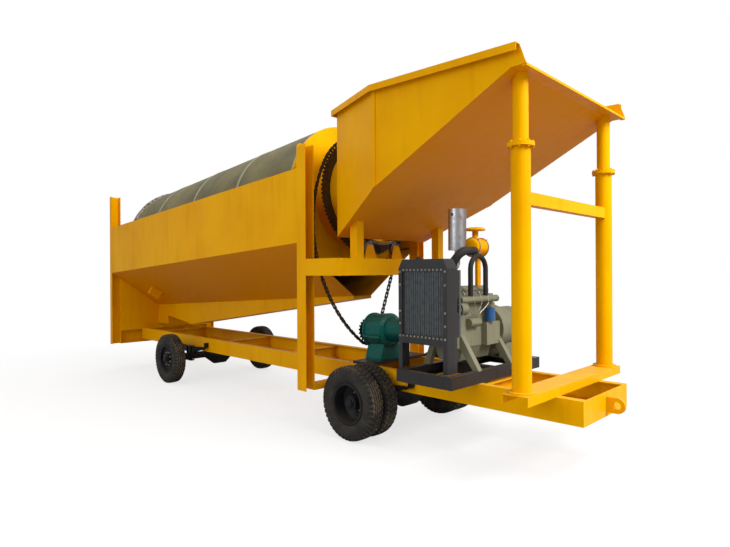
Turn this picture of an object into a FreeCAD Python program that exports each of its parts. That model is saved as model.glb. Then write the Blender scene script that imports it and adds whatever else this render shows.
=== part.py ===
import FreeCAD, Part
import Sketcher
import math
import os
import re
from FreeCAD import Placement, Rotation, Vector

os.makedirs("parts", exist_ok=True)
doc = FreeCAD.newDocument("trommel_screen")
sheet = doc.addObject("Spreadsheet::Sheet", "dims")

# Driving dimensions in millimetres and degrees.
# X runs forward to the tow eye, Y to the left, Z up from the ground.
SIZES = (
    # name, value
    ("tyre_radius", 375.5),
    ("tyre_width", 185),
    ("tyre_widest_radius", 290),
    ("tyre_tread", 108),
    ("tyre_sides", 38),
    ("bead_gap", 2),
    ("rim_radius", 193),
    ("rim_flange", 21),
    ("rim_width", 144),
    ("rim_wall", 8),
    ("disc_radius", 110),
    ("disc_thick", 12),
    ("twin_dish", 40),
    ("twin_hub_reach", 20),
    ("single_disc_set", 10),
    ("single_dish", 20),
    ("wheel_offset", 839),
    ("twin_spacing", 215),
    ("hub_radius", 75),
    ("hub_reach", 60),
    ("hub_gap", 5),
    ("brake_radius", 150),
    ("brake_wall", 8),
    ("brake_depth", 80),
    ("brake_gap", 6),
    ("brake_plate", 6),
    ("spindle_radius", 35),
    ("spindle_play", 0.05),
    ("spindle_inset", 5),
    ("front_axle_x", 1893),
    ("rear_axle_x", -2200),
    ("axle_radius", 55),
    ("axle_bulge", 172),
    ("axle_bulge_half", 90),
    ("axle_neck_half", 250),
    ("front_axle_half", 680),
    ("rear_axle_half", 752),
    ("spring_offset", 505),
    ("spring_width", 40),
    ("spring_half", 520),
    ("spring_rise", 32),
    ("leaf", 14),
    ("leaf_count", 6),
    ("seat_pad", 14),
    ("seat_length", 140),
    ("hanger_length", 44),
    ("hanger_height", 70),
    ("clamp_length", 150),
    ("clamp_plate", 12),
    ("clamp_bolt", 6),
    ("beam_bottom", 487),
    ("beam_depth", 202),
    ("beam_flange", 75),
    ("beam_wall", 8),
    ("chassis_half", 467.5),
    ("frame_rear", -4245),
    ("frame_front", 4095),
    ("drawbar_thick", 12),
    ("eye_reach", 150),
    ("eye_radius", 65),
    ("eye_bore", 32),
    ("eye_thick", 30),
    ("cross_depth", 160),
    ("cross_flange", 60),
    ("cross_tail_x", -3500),
    ("cross_rear_x", -1400),
    ("cross_middle_x", 200),
    ("cross_drive_x", 1420),
    ("cross_skid_x", 2560),
    ("cross_front_x", 3110),
    ("post_x", 3767),
    ("post_offset", 822),
    ("lower_post_radius", 75),
    ("upper_post_radius", 60),
    ("post_flange_radius", 105),
    ("post_flange_thick", 16),
    ("post_joint_height", 2670),
    ("saddle_width", 220),
    ("saddle_depth", 74),
    ("saddle_half", 933),
    ("saddle_wall", 8),
    ("brace_height", 2265),
    ("brace_depth", 100),
    ("brace_width", 80),
    ("body_gap", 59),
    ("body_half", "=drum_radius + ring_height + body_gap"),
    ("hopper_lip_x", 3915),
    ("hopper_bend_x", 3788),
    ("hopper_crease_x", 2370),
    ("hopper_back_x", 1582),
    ("hopper_back_half", 743),
    ("spout_floor_gap", 56.8),
    ("hopper_lip_height", "=drum_axis_height + hopper_back_x * tan(drum_tilt) - spout_radius"
     " - spout_floor_gap + hopper_wall + hopper_floor_slope * (hopper_bend_x - hopper_back_x)"),
    ("hopper_rim_rise", 210),
    ("hopper_rim_height", "=hopper_lip_height + hopper_rim_rise"),
    ("hopper_floor_slope", 0.515),
    ("hopper_wall", 6),
    ("lip_bar_width", 40),
    ("lip_bar_depth", 20),
    ("crease_strip", 30),
    ("crease_strip_thick", 8),
    ("floor_margin", 200),
    ("bore_margin", 120),
    ("rim_bar_width", 52),
    ("rim_bar_depth", 60),
    ("rim_bar_wall", 6),
    ("rim_front_x", 3859),
    ("rim_fall", 0.04),
    ("spout_gap", 77),
    ("spout_radius", "=neck_radius - neck_wall - spout_gap"),
    ("spout_reach", 130),
    ("mid_post_x", 1213),
    ("mid_post_length", 147),
    ("mid_post_width", 121),
    ("mid_post_wall", 7),
    ("mid_post_top", 3110),
    ("foot_height", 430),
    ("rear_post_length", 90),
    ("rear_post_width", 156),
    ("rear_post_top", 3080),
    ("rear_sill_depth", 240),
    ("sheet_wall", 5),
    ("platform_bottom", 1667),
    ("platform_depth", 178),
    ("platform_front", 1875),
    ("platform_beam_width", 90),
    ("roller_beam_width", 120),
    ("roller_beam_set", 45),
    ("hopper_foot_size", 100),
    ("hopper_foot_offset", 690),
    ("panel_top", 2830),
    ("panel_slope", 0.0579),
    ("panel_flange", 40),
    ("trough_slope", 0.71),
    ("trough_gap", 19.6),
    ("panel_height", "=panel_top - panel_slope * (mid_post_x - rear_ring_station * cos(drum_tilt))"
     " - drum_axis_height - rear_ring_station * sin(drum_tilt) - trough_slope * body_half"
     " + sqrt(1 + trough_slope ^ 2) * (drum_radius + ring_height + trough_gap)"),
    ("flume_half", 150),
    ("flume_low_x", -2835),
    ("flume_low_depth", 368),
    ("flume_rear", -3755),
    ("flume_rear_depth", 216),
    ("flume_front_depth", 40.7),
    ("bulkhead_height", 347),
    ("seat_gap", 0.3),
    ("chute_bottom", 760),
    ("drum_tilt", 4.63),
    ("drum_axis_height", 2506.6),
    ("drum_radius", 920),
    ("drum_wall", 8),
    ("drum_rear", -3599),
    ("drum_front", 1001),
    ("drum_course", 1180),
    ("hoop_width", 50),
    ("hoop_height", 5),
    ("lifter_count", 8),
    ("lifter_width", 30),
    ("lifter_height", 30),
    ("lifter_wall", 6),
    ("lifter_inset", 60),
    ("drum_head_thick", 10),
    ("neck_radius", 585),
    ("neck_wall", 8),
    ("neck_end", 1525),
    ("front_ring_station", 1481),
    ("rear_ring_station", -3460),
    ("ring_height", 25),
    ("ring_width", 60),
    ("roller_radius", 75),
    ("roller_width", 50),
    ("roller_play", 0.4),
    ("roller_pin", 18),
    ("pin_play", 0.05),
    ("front_roller_angle", 19),
    ("rear_roller_angle", 33),
    ("stand_gap", 3),
    ("stand_plate", 12),
    ("stand_foot_half", 115),
    ("stand_top_half", 42),
    ("stand_top_rise", 30),
    ("roller_slot", 5),
    ("housing_mouth_half", 100),
    ("housing_base_half", 90),
    ("housing_depth", 90),
    ("housing_rise", 60),
    ("housing_wall", 8),
    ("chain_station", 1290),
    ("chain_pitch", 50.8),
    ("chain_pitch_radius", 727.8),
    ("chain_half", 14),
    ("chain_width", 40),
    ("chain_lap", 10),
    ("roller_link_half", 10),
    ("roller_link_width", 24),
    ("roller_link_lap", 4),
    ("chain_bow_radius", 1580),
    ("sprocket_play", 0.9),
    ("sprocket_thick", 14),
    ("ring_teeth", 90),
    ("drive_teeth", 20),
    ("tooth_depth", 18),
    ("notch_root_half", 9),
    ("notch_mouth_half", 15.5),
    ("drive_offset", -120),
    ("drive_drop", 1600),
    ("drive_pitch_radius", 162.4),
    ("drive_hub_radius", 48),
    ("drive_hub_reach", 30),
    ("drive_shaft_radius", 28),
    ("drive_shaft_reach", 110),
    ("gearbox_gap", 60),
    ("gearbox_radius", 192),
    ("gearbox_nose", 120),
    ("gearbox_nose_length", 50),
    ("gearbox_flange", 206),
    ("gearbox_flange_thick", 24),
    ("gearbox_length", 260),
    ("gearbox_foot_half", 170),
    ("gearbox_foot_thick", 24),
    ("gearbox_split", 250),
    ("motor_radius", 130),
    ("motor_length", 330),
    ("motor_cowl", 138),
    ("motor_cowl_length", 70),
    ("gearbox_base", 30),
    ("shaft_end_gap", 10),
    ("skid_rear", 2525),
    ("skid_front", 3145),
    ("skid_near", -870),
    ("skid_far", 700),
    ("skid_depth", 110),
    ("skid_width", 60),
    ("skid_wall", 7),
    ("skid_tie_y", -150),
    ("engine_x", 2795),
    ("engine_near", -520),
    ("engine_far", 180),
    ("pan_bottom", 860),
    ("pan_half", 105),
    ("block_bottom", 990),
    ("block_half", 150),
    ("block_top", 1390),
    ("block_top_half", 132),
    ("head_top", 1480),
    ("head_half", 118),
    ("cover_top", 1560),
    ("cover_half", 98),
    ("crank_height", 1118),
    ("flywheel_radius", 234),
    ("flywheel_length", 170),
    ("generator_radius", 205),
    ("generator_end", 670),
    ("pulley_radius", 95),
    ("pulley_width", 34),
    ("manifold_radius", 34),
    ("manifold_set", 172),
    ("manifold_height", 1435),
    ("side_case_width", 62),
    ("filter_radius", 42),
    ("filter_bottom", 1217),
    ("filter_top", 1354),
    ("filter_x", 3000),
    ("filter_y", -26),
    ("fan_height", 1400),
    ("fan_radius", 228),
    ("fan_hub", 60),
    ("fan_y", -610),
    ("fan_hub_length", 34),
    ("fan_shaft", 20),
    ("blade_width", 90),
    ("blade_thick", 4),
    ("blade_count", 6),
    ("blade_pitch", 28),
    ("radiator_x", 2485),
    ("radiator_width", 560),
    ("radiator_y", -790),
    ("radiator_depth", 150),
    ("radiator_bottom", 1095),
    ("radiator_top", 1730),
    ("radiator_flange", 45),
    ("radiator_wall", 6),
    ("core_set", 30),
    ("core_depth", 80),
    ("fin_count", 18),
    ("fin_width", 5),
    ("fin_depth", 10),
    ("tank_top", 1816),
    ("tank_taper", 45),
    ("tank_bottom", 1040),
    ("cap_radius", 26),
    ("cap_height", 22),
    ("shroud_depth", 75),
    ("shroud_inset", 15),
    ("shroud_radius", 245),
    ("muffler_radius", 88),
    ("muffler_bottom", 1910),
    ("muffler_top", 2310),
    ("muffler_x", 2770),
    ("muffler_y", -240),
    ("outlet_height", 2255),
    ("outlet_radius", 16),
    ("outlet_depth", 60),
    ("exhaust_radius", 27),
    ("cleaner_x", 2855),
    ("cleaner_height", 1940),
    ("cleaner_radius", 90),
    ("cleaner_near", -140),
    ("cleaner_far", 65),
    ("cleaner_band", 7),
    ("cleaner_band_width", 14),
    ("neck_pipe_radius", 30),
    ("cap_disc_radius", 100),
    ("cap_disc_y", -55),
    ("cap_rise", 165),
    ("cap_disc_thick", 20),
    ("bracket_half", 30),
    ("hose_radius", 40),
    ("hose_foot_y", -420),
    ("arch_near", -310),
    ("arch_far", -50),
    ("arch_shoulder", 1720),
    ("crossover_radius", 24),
)

for row, (name, value) in enumerate(SIZES, start=1):
    sheet.set("A%d" % row, name)
    sheet.set("B%d" % row, str(value))
    sheet.setAlias("B%d" % row, name)
doc.recompute()

NAMES = re.compile(r"\b(%s)\b" % "|".join(name for name, value in SIZES))


def size(name):
    return float(sheet.get(name))


def bind(item, prop, text):
    # Ties one property to named sizes: text is arithmetic on the names above.
    item.setExpression(prop, NAMES.sub(r"dims.\1", str(text)))


def place(item, x="0", y="0", z="0"):
    bind(item, "Placement.Base.x", x)
    bind(item, "Placement.Base.y", y)
    bind(item, "Placement.Base.z", z)


def lean(item):
    # Turns an item about Y so that its X axis lies along the drum's axis.
    item.Placement = Placement(Vector(0, 0, 0), Rotation(Vector(0, -1, 0), 1))
    bind(item, "Placement.Rotation.Angle", "drum_tilt")
    place(item, "0", "0", "drum_axis_height")


def box(name, start, extent):
    item = doc.addObject("Part::Box", name)
    place(item, *start)
    for prop, text in zip(("Length", "Width", "Height"), extent):
        bind(item, prop, text)
    return item


AXES = {"X": Rotation(Vector(0, 1, 0), 90), "Y": Rotation(Vector(1, 0, 0), -90), "Z": Rotation()}


def rod(name, start, axis, length, radius):
    item = doc.addObject("Part::Cylinder", name)
    item.Placement = Placement(Vector(0, 0, 0), AXES[axis])
    place(item, *start)
    bind(item, "Height", length)
    bind(item, "Radius", radius)
    return item


def outline(body, plane, points):
    # A closed sketch of straight lines on one origin plane of its body.
    sketch = body.newObject("Sketcher::SketchObject", body.Name + "_sketch")
    origin = [f for f in body.Origin.OriginFeatures if f.Role == plane][0]
    sketch.AttachmentSupport = [(origin, "")]
    sketch.MapMode = "FlatFace"
    count = len(points)
    for i in range(count):
        sketch.addGeometry(Part.LineSegment(Vector(i, i * i, 0), Vector(i + 1, (i + 1) ** 2, 0)), False)
    for i in range(count):
        sketch.addConstraint(Sketcher.Constraint("Coincident", i, 2, (i + 1) % count, 1))
    for i, (across, along) in enumerate(points):
        for kind, text in (("DistanceX", across), ("DistanceY", along)):
            index = sketch.addConstraint(Sketcher.Constraint(kind, -1, 1, i, 1, 1.0 + i))
            sketch.renameConstraint(index, "%s%d" % (kind[-1].lower(), i))
            bind(sketch, "Constraints.%s%d" % (kind[-1].lower(), i), text)
    return sketch


def prism(name, plane, points, start, length, slope=None):
    # Pads an outline from its start along the plane's normal; slope tips the way it goes in Z.
    body = doc.addObject("PartDesign::Body", name)
    sketch = outline(body, plane, points)
    pad = body.newObject("PartDesign::Pad", name + "_pad")
    pad.Profile = sketch
    bind(pad, "Length", length)
    if slope:
        pad.UseCustomVector = True
        pad.Direction = Vector(1, 0, 0)
        bind(pad, "Direction.z", slope)
        pad.AlongSketchNormal = True
    body.Tip = pad
    place(body, *{"YZ_Plane": (start, "0", "0"), "XZ_Plane": ("0", start, "0"),
                  "XY_Plane": ("0", "0", start)}[plane])
    return body


def turned(name, points, axis):
    # Spins an outline in the XY plane about X ("H_Axis") or Y ("V_Axis").
    body = doc.addObject("PartDesign::Body", name)
    sketch = outline(body, "XY_Plane", points)
    spin = body.newObject("PartDesign::Revolution", name + "_turn")
    spin.Profile = sketch
    spin.ReferenceAxis = (sketch, [axis])
    spin.Angle = 360
    body.Tip = spin
    return body


def fuse(name, items):
    joined = doc.addObject("Part::MultiFuse", name)
    joined.Shapes = items
    joined.Refine = True
    return joined


def cut(name, base, tool):
    item = doc.addObject("Part::Cut", name)
    item.Base = base
    item.Tool = tool
    item.Refine = True
    return item


def group(name, items):
    # Like pieces that do not touch, kept as one node.
    item = doc.addObject("Part::Compound", name)
    item.Links = items
    return item


SIDES = (("left", 1), ("right", -1))
NODES = []


def node(item, name):
    item.Label = name
    NODES.append(item)
    return item


def flip(sign, inner, width):
    # Start in Y of something that lies from inner to inner + width on either side.
    return inner if sign > 0 else "-(%s) - (%s)" % (inner, width)


# Chassis

def chassis():
    beams = []
    for side, sign in SIDES:
        web = "%d * chassis_half" % sign
        inner = "%d * (chassis_half - beam_flange)" % sign
        skin = "%d * (chassis_half - beam_wall)" % sign
        top = "beam_bottom + beam_depth"
        beams.append(prism("beam_" + side, "YZ_Plane", (
            (web, "beam_bottom"),
            (inner, "beam_bottom"),
            (inner, "beam_bottom + beam_wall"),
            (skin, "beam_bottom + beam_wall"),
            (skin, top + " - beam_wall"),
            (inner, top + " - beam_wall"),
            (inner, top),
            (web, top),
        ), "frame_rear + rear_post_length", "frame_front - frame_rear - rear_post_length - drawbar_thick"))
    node(group("chassis_beams_all", beams), "chassis_beams")

    members = []
    for end in ("tail", "rear", "middle", "drive", "skid", "front"):
        x = "cross_%s_x" % end
        low = "beam_bottom + (beam_depth - cross_depth) / 2"
        high = "beam_bottom + (beam_depth + cross_depth) / 2"
        members.append(prism("cross_" + end, "XZ_Plane", (
            (x, low),
            (x + " + cross_flange", low),
            (x + " + cross_flange", low + " + beam_wall"),
            (x + " + beam_wall", low + " + beam_wall"),
            (x + " + beam_wall", high + " - beam_wall"),
            (x + " + cross_flange", high + " - beam_wall"),
            (x + " + cross_flange", high),
            (x, high),
        ), "chassis_half - beam_wall", "2 * (chassis_half - beam_wall)"))
    node(group("crossmembers_all", members), "chassis_crossmembers")

    plate = box("drawbar_sheet", ("frame_front - drawbar_thick", "-chassis_half", "beam_bottom"),
                ("drawbar_thick", "2 * chassis_half", "beam_depth"))
    middle = "beam_bottom + beam_depth / 2"
    lug = box("eye_lug", ("frame_front - 1", "-eye_thick / 2", middle + " - eye_radius"),
              ("eye_reach - eye_radius + 1", "eye_thick", "2 * eye_radius"))
    nose = rod("eye_nose", ("frame_front + eye_reach - eye_radius", "-eye_thick / 2", middle), "Y",
               "eye_thick", "eye_radius")
    bore = rod("eye_hole", ("frame_front + eye_reach - eye_radius", "-eye_thick", middle), "Y",
               "2 * eye_thick", "eye_bore")
    node(cut("drawbar", fuse("drawbar_solid", [plate, lug, nose]), bore), "drawbar_plate")


# Axles, springs and wheels

SEAT = "tyre_radius + axle_radius + seat_pad"
FRONT_HUB = "front_axle_half + hub_gap - wheel_offset"
REAR_HUB = "rear_axle_half + hub_gap - wheel_offset"


def axle(name, x, half, reach):
    # One turned beam with its middle bulge, spindles and the two plates that close the brake drums.
    plate = "(%s + hub_gap - brake_depth - brake_gap)" % half
    right = [
        ("spindle_radius", reach),
        ("spindle_radius", half),
        ("axle_radius", half),
        ("axle_radius", plate),
        ("brake_radius", plate),
        ("brake_radius", plate + " - brake_plate"),
        ("axle_radius", plate + " - brake_plate"),
        ("axle_radius", "axle_neck_half"),
        ("axle_bulge", "axle_bulge_half"),
    ]
    left = [(radius, "-(%s)" % along) for radius, along in right]
    spin = turned(name + "_beam", [("0", "-(%s)" % reach)] + left + right[::-1] + [("0", reach)], "V_Axis")
    place(spin, x, "0", "tyre_radius")
    seats = []
    for side, sign in SIDES:
        seats.append(box(name + "_seat_" + side,
                         (x + " - seat_length / 2",
                          flip(sign, "spring_offset - spring_width / 2", "spring_width"),
                          "tyre_radius"),
                         ("seat_length", "spring_width", "axle_radius + seat_pad")))
    return node(fuse(name + "_all", [spin] + seats), name)


def leaf_outline(x):
    # Leaves of falling length under the longest one, each following its bow.
    count = int(size("leaf_count"))

    def spot(reach, layer):
        bow = "%s + leaf * (leaf_count - %d) + spring_rise * (%s) ^ 2" % (SEAT, layer, reach)
        return "%s + spring_half * (%s)" % (x, reach), bow
    steps = []
    for layer in range(count):
        tip = "1 - 0.85 * %d / leaf_count" % layer
        steps += [(tip, layer), (tip, layer + 1)]
    right = [spot(tip, layer) for tip, layer in steps]
    left = [spot("-(%s)" % tip, layer) for tip, layer in steps]
    return [spot("0", 0)] + right + [spot("0", count)] + left[::-1]


def springs():
    packs = []
    low = "tyre_radius - axle_radius - seat_gap - clamp_plate"
    high = SEAT + " + leaf * leaf_count"
    for end, x in (("front", "front_axle_x"), ("rear", "rear_axle_x")):
        for side, sign in SIDES:
            tag = "%s_%s" % (end, side)
            inner = "spring_offset - spring_width / 2"
            pieces = [prism("spring_" + tag, "XZ_Plane", leaf_outline(x),
                            flip(sign, inner, "spring_width") + " + spring_width", "spring_width")]
            reach = "spring_offset + spring_width / 2 - chassis_half"
            for spot, start in (("a", x + " - spring_half"), ("b", x + " + spring_half - hanger_length")):
                pieces.append(box("hanger_%s_%s" % (tag, spot),
                                  (start, flip(sign, "chassis_half", reach),
                                   high + " - leaf / 2 + spring_rise"),
                                  ("hanger_length", reach, "hanger_height")))
            spread = "(spring_width + 4 * clamp_bolt + bead_gap)"
            edge = flip(sign, "spring_offset - %s / 2" % spread, spread)
            for level, z in (("top", high), ("foot", low)):
                pieces.append(box("clamp_%s_%s" % (level, tag), (x + " - clamp_length / 2", edge, z),
                                  ("clamp_length", spread, "clamp_plate")))
            for i, way in enumerate((-1, 1)):
                for j, hand in enumerate((-1, 1)):
                    across = "%d * spring_offset + %d * (spring_width / 2 + clamp_bolt + bead_gap / 2)"
                    along = "%s + %d * (axle_radius + clamp_bolt + 2 * bead_gap)" % (x, way)
                    pieces.append(rod("clamp_bolt_%s_%d%d" % (tag, i, j),
                                      (along, across % (sign, hand), low), "Z",
                                      "%s + 2 * clamp_plate - (%s)" % (high, low), "clamp_bolt"))
            packs.append(fuse("spring_set_" + tag, pieces))
    node(group("springs_all", packs), "leaf_springs")


def faceted_ring(name, rows, bore, sides):
    # A ring about the Y axis with flat facets: rows of (flat radius, distance along the axis), and a bore.
    stretch = 1 / math.cos(math.pi / sides)
    loops = []
    for radius, along in rows + [(bore, rows[-1][1]), (bore, rows[0][1])]:
        loops.append([Vector(radius * stretch * math.cos(2 * math.pi * k / sides), along,
                             radius * stretch * math.sin(2 * math.pi * k / sides)) for k in range(sides)])
    faces = []
    for row, loop in enumerate(loops):
        after = loops[(row + 1) % len(loops)]
        for k in range(sides):
            j = (k + 1) % sides
            faces.append(Part.Face(Part.makePolygon([loop[k], loop[j], after[j], after[k], loop[k]])))
    solid = Part.makeSolid(Part.makeShell(faces))
    if solid.Volume < 0:
        solid.reverse()
    item = doc.addObject("Part::Feature", name)
    item.Shape = solid
    return item


def tyre(name, x, y):
    bead = size("rim_width") / 2 - size("rim_wall") - size("bead_gap")
    flange = size("rim_radius") + size("rim_flange") + size("bead_gap")
    half = ((flange, bead), (size("tyre_widest_radius"), size("tyre_width") / 2),
            (size("tyre_radius"), size("tyre_tread") / 2))
    rows = [(radius, -along) for radius, along in half] + list(half[::-1])
    ring_item = faceted_ring(name, rows, size("rim_radius") + size("seat_gap"), int(size("tyre_sides")))
    place(ring_item, x, y, "tyre_radius")
    return ring_item


def barrel(centre, way):
    # The rim's outer skin around one tyre, walked from one edge to the other.
    w = "(rim_width / 2)"
    flange = "rim_radius + rim_flange"
    return [
        ("rim_radius - rim_wall", "%s - %d * %s" % (centre, way, w)),
        (flange, "%s - %d * %s" % (centre, way, w)),
        (flange, "%s - %d * (%s - rim_wall)" % (centre, way, w)),
        ("rim_radius", "%s - %d * (%s - rim_wall)" % (centre, way, w)),
        ("rim_radius", "%s + %d * (%s - rim_wall)" % (centre, way, w)),
        (flange, "%s + %d * (%s - rim_wall)" % (centre, way, w)),
        (flange, "%s + %d * %s" % (centre, way, w)),
        ("rim_radius - rim_wall", "%s + %d * %s" % (centre, way, w)),
    ]


def hub_and_brake(inner):
    # The hub's bore and the brake drum's cup, up to where the wheel disc begins.
    return [
        ("spindle_radius + spindle_play", inner),
        ("brake_radius - brake_wall", inner),
        ("brake_radius - brake_wall", inner + " - brake_depth"),
        ("brake_radius", inner + " - brake_depth"),
        ("brake_radius", inner + " + brake_wall"),
        ("hub_radius", inner + " + brake_wall"),
    ]


def spin_wheel(name, x, sign, points):
    # Distances along the axle run outward from the outer tyre's middle.
    points = [(radius, "%d * (%s)" % (sign, along)) for radius, along in points]
    spin = turned(name, points, "V_Axis")
    place(spin, x, "%d * wheel_offset" % sign, "tyre_radius")
    return spin


def single_rim(name, x, sign):
    skin = "rim_radius - rim_wall"
    points = hub_and_brake(REAR_HUB)
    points += [("hub_radius", "single_disc_set"), (skin, "single_disc_set + single_dish")]
    points += barrel("0", 1)
    points += [(skin, "single_disc_set + single_dish + disc_thick"),
               ("hub_radius", "single_disc_set + disc_thick"),
               ("hub_radius", "hub_reach"), ("spindle_radius + spindle_play", "hub_reach")]
    return spin_wheel(name, x, sign, points)


def twin_rim(name, x, sign):
    mate = "(-twin_spacing / 2)"
    skin = "rim_radius - rim_wall"
    points = hub_and_brake(FRONT_HUB)
    points += [("hub_radius", mate + " - disc_thick"), ("disc_radius", mate + " - disc_thick"),
               (skin, mate + " - disc_thick - twin_dish")]
    points += barrel("-twin_spacing", 1)
    points += [("disc_radius", mate)]
    points += barrel("0", 1)
    points += [(skin, mate + " + disc_thick + twin_dish"), ("disc_radius", mate + " + disc_thick"),
               ("hub_radius", mate + " + disc_thick"), ("hub_radius", "twin_hub_reach"),
               ("spindle_radius + spindle_play", "twin_hub_reach")]
    return spin_wheel(name, x, sign, points)


def wheels():
    for side, sign in SIDES:
        outer = tyre("tyre_outer_" + side, "front_axle_x", "%d * wheel_offset" % sign)
        inner = tyre("tyre_inner_" + side, "front_axle_x", "%d * (wheel_offset - twin_spacing)" % sign)
        node(group("tyres_front_" + side, [outer, inner]), "front_tyres_" + side)
        node(twin_rim("rim_front_" + side, "front_axle_x", sign), "front_rims_" + side)
        node(tyre("tyre_rear_" + side, "rear_axle_x", "%d * wheel_offset" % sign), "rear_tyre_" + side)
        node(single_rim("rim_rear_" + side, "rear_axle_x", sign), "rear_rim_" + side)


# Front support under the hopper's lip

LIP_UNDER = "hopper_lip_height - hopper_wall"
FLOOR_UNDER = LIP_UNDER + " - hopper_floor_slope * (hopper_bend_x - (%s))"


def floor_line(lift):
    # The hopper's underside from behind its back to ahead of its lip, raised by lift.
    rear, front = "hopper_back_x - body_half", "hopper_lip_x + body_half"
    return [(rear, "%s + %s" % (FLOOR_UNDER % rear, lift)), ("hopper_bend_x", "%s + %s" % (LIP_UNDER, lift)),
            (front, "%s + %s" % (LIP_UNDER, lift))]


def above_floor(name, lift="0"):
    line = floor_line(lift)
    corners = line + [(line[2][0], "hopper_rim_height + body_half"),
                      (line[0][0], "hopper_rim_height + body_half")]
    return prism(name, "XZ_Plane", corners, "2 * body_half", "4 * body_half")


def below_floor(name):
    line = floor_line("0")
    return prism(name, "XZ_Plane", line + [(line[2][0], "0"), (line[0][0], "0")], "2 * body_half",
                 "4 * body_half")


def front_support():
    base = "beam_bottom + beam_depth"
    half = "saddle_width / 2"
    top = base + " + saddle_depth"
    node(prism("saddle", "XZ_Plane", (
        ("post_x - " + half, base),
        ("post_x - " + half + " + saddle_wall", base),
        ("post_x - " + half + " + saddle_wall", top + " - saddle_wall"),
        ("post_x + " + half + " - saddle_wall", top + " - saddle_wall"),
        ("post_x + " + half + " - saddle_wall", base),
        ("post_x + " + half, base),
        ("post_x + " + half, top),
        ("post_x - " + half, top),
    ), "saddle_half", "2 * saddle_half"), "front_saddle")

    posts = []
    for side, sign in SIDES:
        y = "%d * post_offset" % sign
        stack = [
            rod("post_low_" + side, ("post_x", y, top), "Z", "post_joint_height - (%s)" % top,
                "lower_post_radius"),
            rod("post_foot_" + side, ("post_x", y, top), "Z", "post_flange_thick", "post_flange_radius"),
            rod("post_joint_" + side, ("post_x", y, "post_joint_height - post_flange_thick"), "Z",
                "2 * post_flange_thick", "post_flange_radius"),
            rod("post_high_" + side, ("post_x", y, "post_joint_height"), "Z",
                "hopper_lip_height - post_joint_height", "upper_post_radius"),
        ]
        posts.append(cut("post_" + side, fuse("post_all_" + side, stack), above_floor("post_limit_" + side)))
    node(group("front_posts_all", posts), "front_posts")

    bar = box("brace_bar", ("post_x - brace_width / 2", "-post_offset", "brace_height - brace_depth / 2"),
              ("brace_width", "2 * post_offset", "brace_depth"))
    cores = [rod("brace_end_" + side, ("post_x", "%d * post_offset" % sign, "brace_height - brace_depth"),
                 "Z",
                 "2 * brace_depth", "lower_post_radius") for side, sign in SIDES]
    node(cut("brace", bar, fuse("brace_ends", cores)), "front_brace")


# Hopper

SIDE_TURN = "((body_half - hopper_back_half) / (hopper_crease_x - hopper_back_x))"
SIDE_STRETCH = "sqrt(1 + %s ^ 2)" % SIDE_TURN


def hopper_plan(inset, front):
    i = inset
    return (
        (front, "-(body_half - %s)" % i),
        (front, "body_half - %s" % i),
        ("hopper_crease_x", "body_half - %s" % i),
        ("hopper_back_x + %s" % i, "hopper_back_half - %s" % i),
        ("hopper_back_x + %s" % i, "-(hopper_back_half - %s)" % i),
        ("hopper_crease_x", "-(body_half - %s)" % i),
    )


def rim_plan(width):
    # The hopper's plan behind its crease, grown outward by one width on every side.
    corner = "hopper_crease_x - (%s) * (%s - 1) / %s" % (width, SIDE_STRETCH, SIDE_TURN)
    back = "hopper_back_half + (%s) * (%s - %s)" % (width, SIDE_STRETCH, SIDE_TURN)
    return (
        ("hopper_crease_x", "-(body_half + %s)" % width),
        ("hopper_crease_x", "body_half + %s" % width),
        (corner, "body_half + %s" % width),
        ("hopper_back_x - (%s)" % width, back),
        ("hopper_back_x - (%s)" % width, "-(%s)" % back),
        (corner, "-(body_half + %s)" % width),
    )


def hopper_sides(low, rise):
    straight, converging = [], []
    for side, sign in SIDES:
        start = flip(sign, "body_half - hopper_wall", "hopper_wall") + " + hopper_wall"
        straight.append(prism("hopper_side_" + side, "XZ_Plane", (
            ("hopper_crease_x", FLOOR_UNDER % "hopper_crease_x"),
            ("hopper_bend_x", LIP_UNDER),
            ("hopper_lip_x", LIP_UNDER),
            ("rim_front_x", "hopper_rim_height - rim_fall * (rim_front_x - hopper_crease_x)"),
            ("hopper_crease_x", "hopper_rim_height"),
        ), start, "hopper_wall"))
        wing = prism("hopper_wing_" + side, "XY_Plane", (
            ("hopper_crease_x", "%d * body_half" % sign),
            ("hopper_back_x", "%d * hopper_back_half" % sign),
            ("hopper_back_x + hopper_wall", "%d * (hopper_back_half - hopper_wall)" % sign),
            ("hopper_crease_x", "%d * (body_half - hopper_wall)" % sign),
        ), low, rise)
        behind = "body_half - crease_strip * %s" % SIDE_TURN
        strip = prism("crease_strip_" + side, "XY_Plane", (
            ("hopper_crease_x + crease_strip", "%d * body_half" % sign),
            ("hopper_crease_x + crease_strip", "%d * (body_half + crease_strip_thick)" % sign),
            ("hopper_crease_x", "%d * (body_half + crease_strip_thick)" % sign),
            ("hopper_crease_x - crease_strip",
             "%d * (%s + crease_strip_thick * %s)" % (sign, behind, SIDE_STRETCH)),
            ("hopper_crease_x - crease_strip", "%d * (%s)" % (sign, behind)),
            ("hopper_crease_x", "%d * body_half" % sign),
        ), low, rise + " - rim_bar_wall - rim_fall * crease_strip - seat_gap")
        plate = fuse("hopper_wing_strip_" + side, [wing, strip])
        converging.append(cut("hopper_rear_side_" + side, plate, below_floor("wing_limit_" + side)))
    node(group("hopper_straight_sides", straight), "hopper_front_sides")
    node(group("hopper_converging_sides", converging), "hopper_rear_sides")


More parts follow.
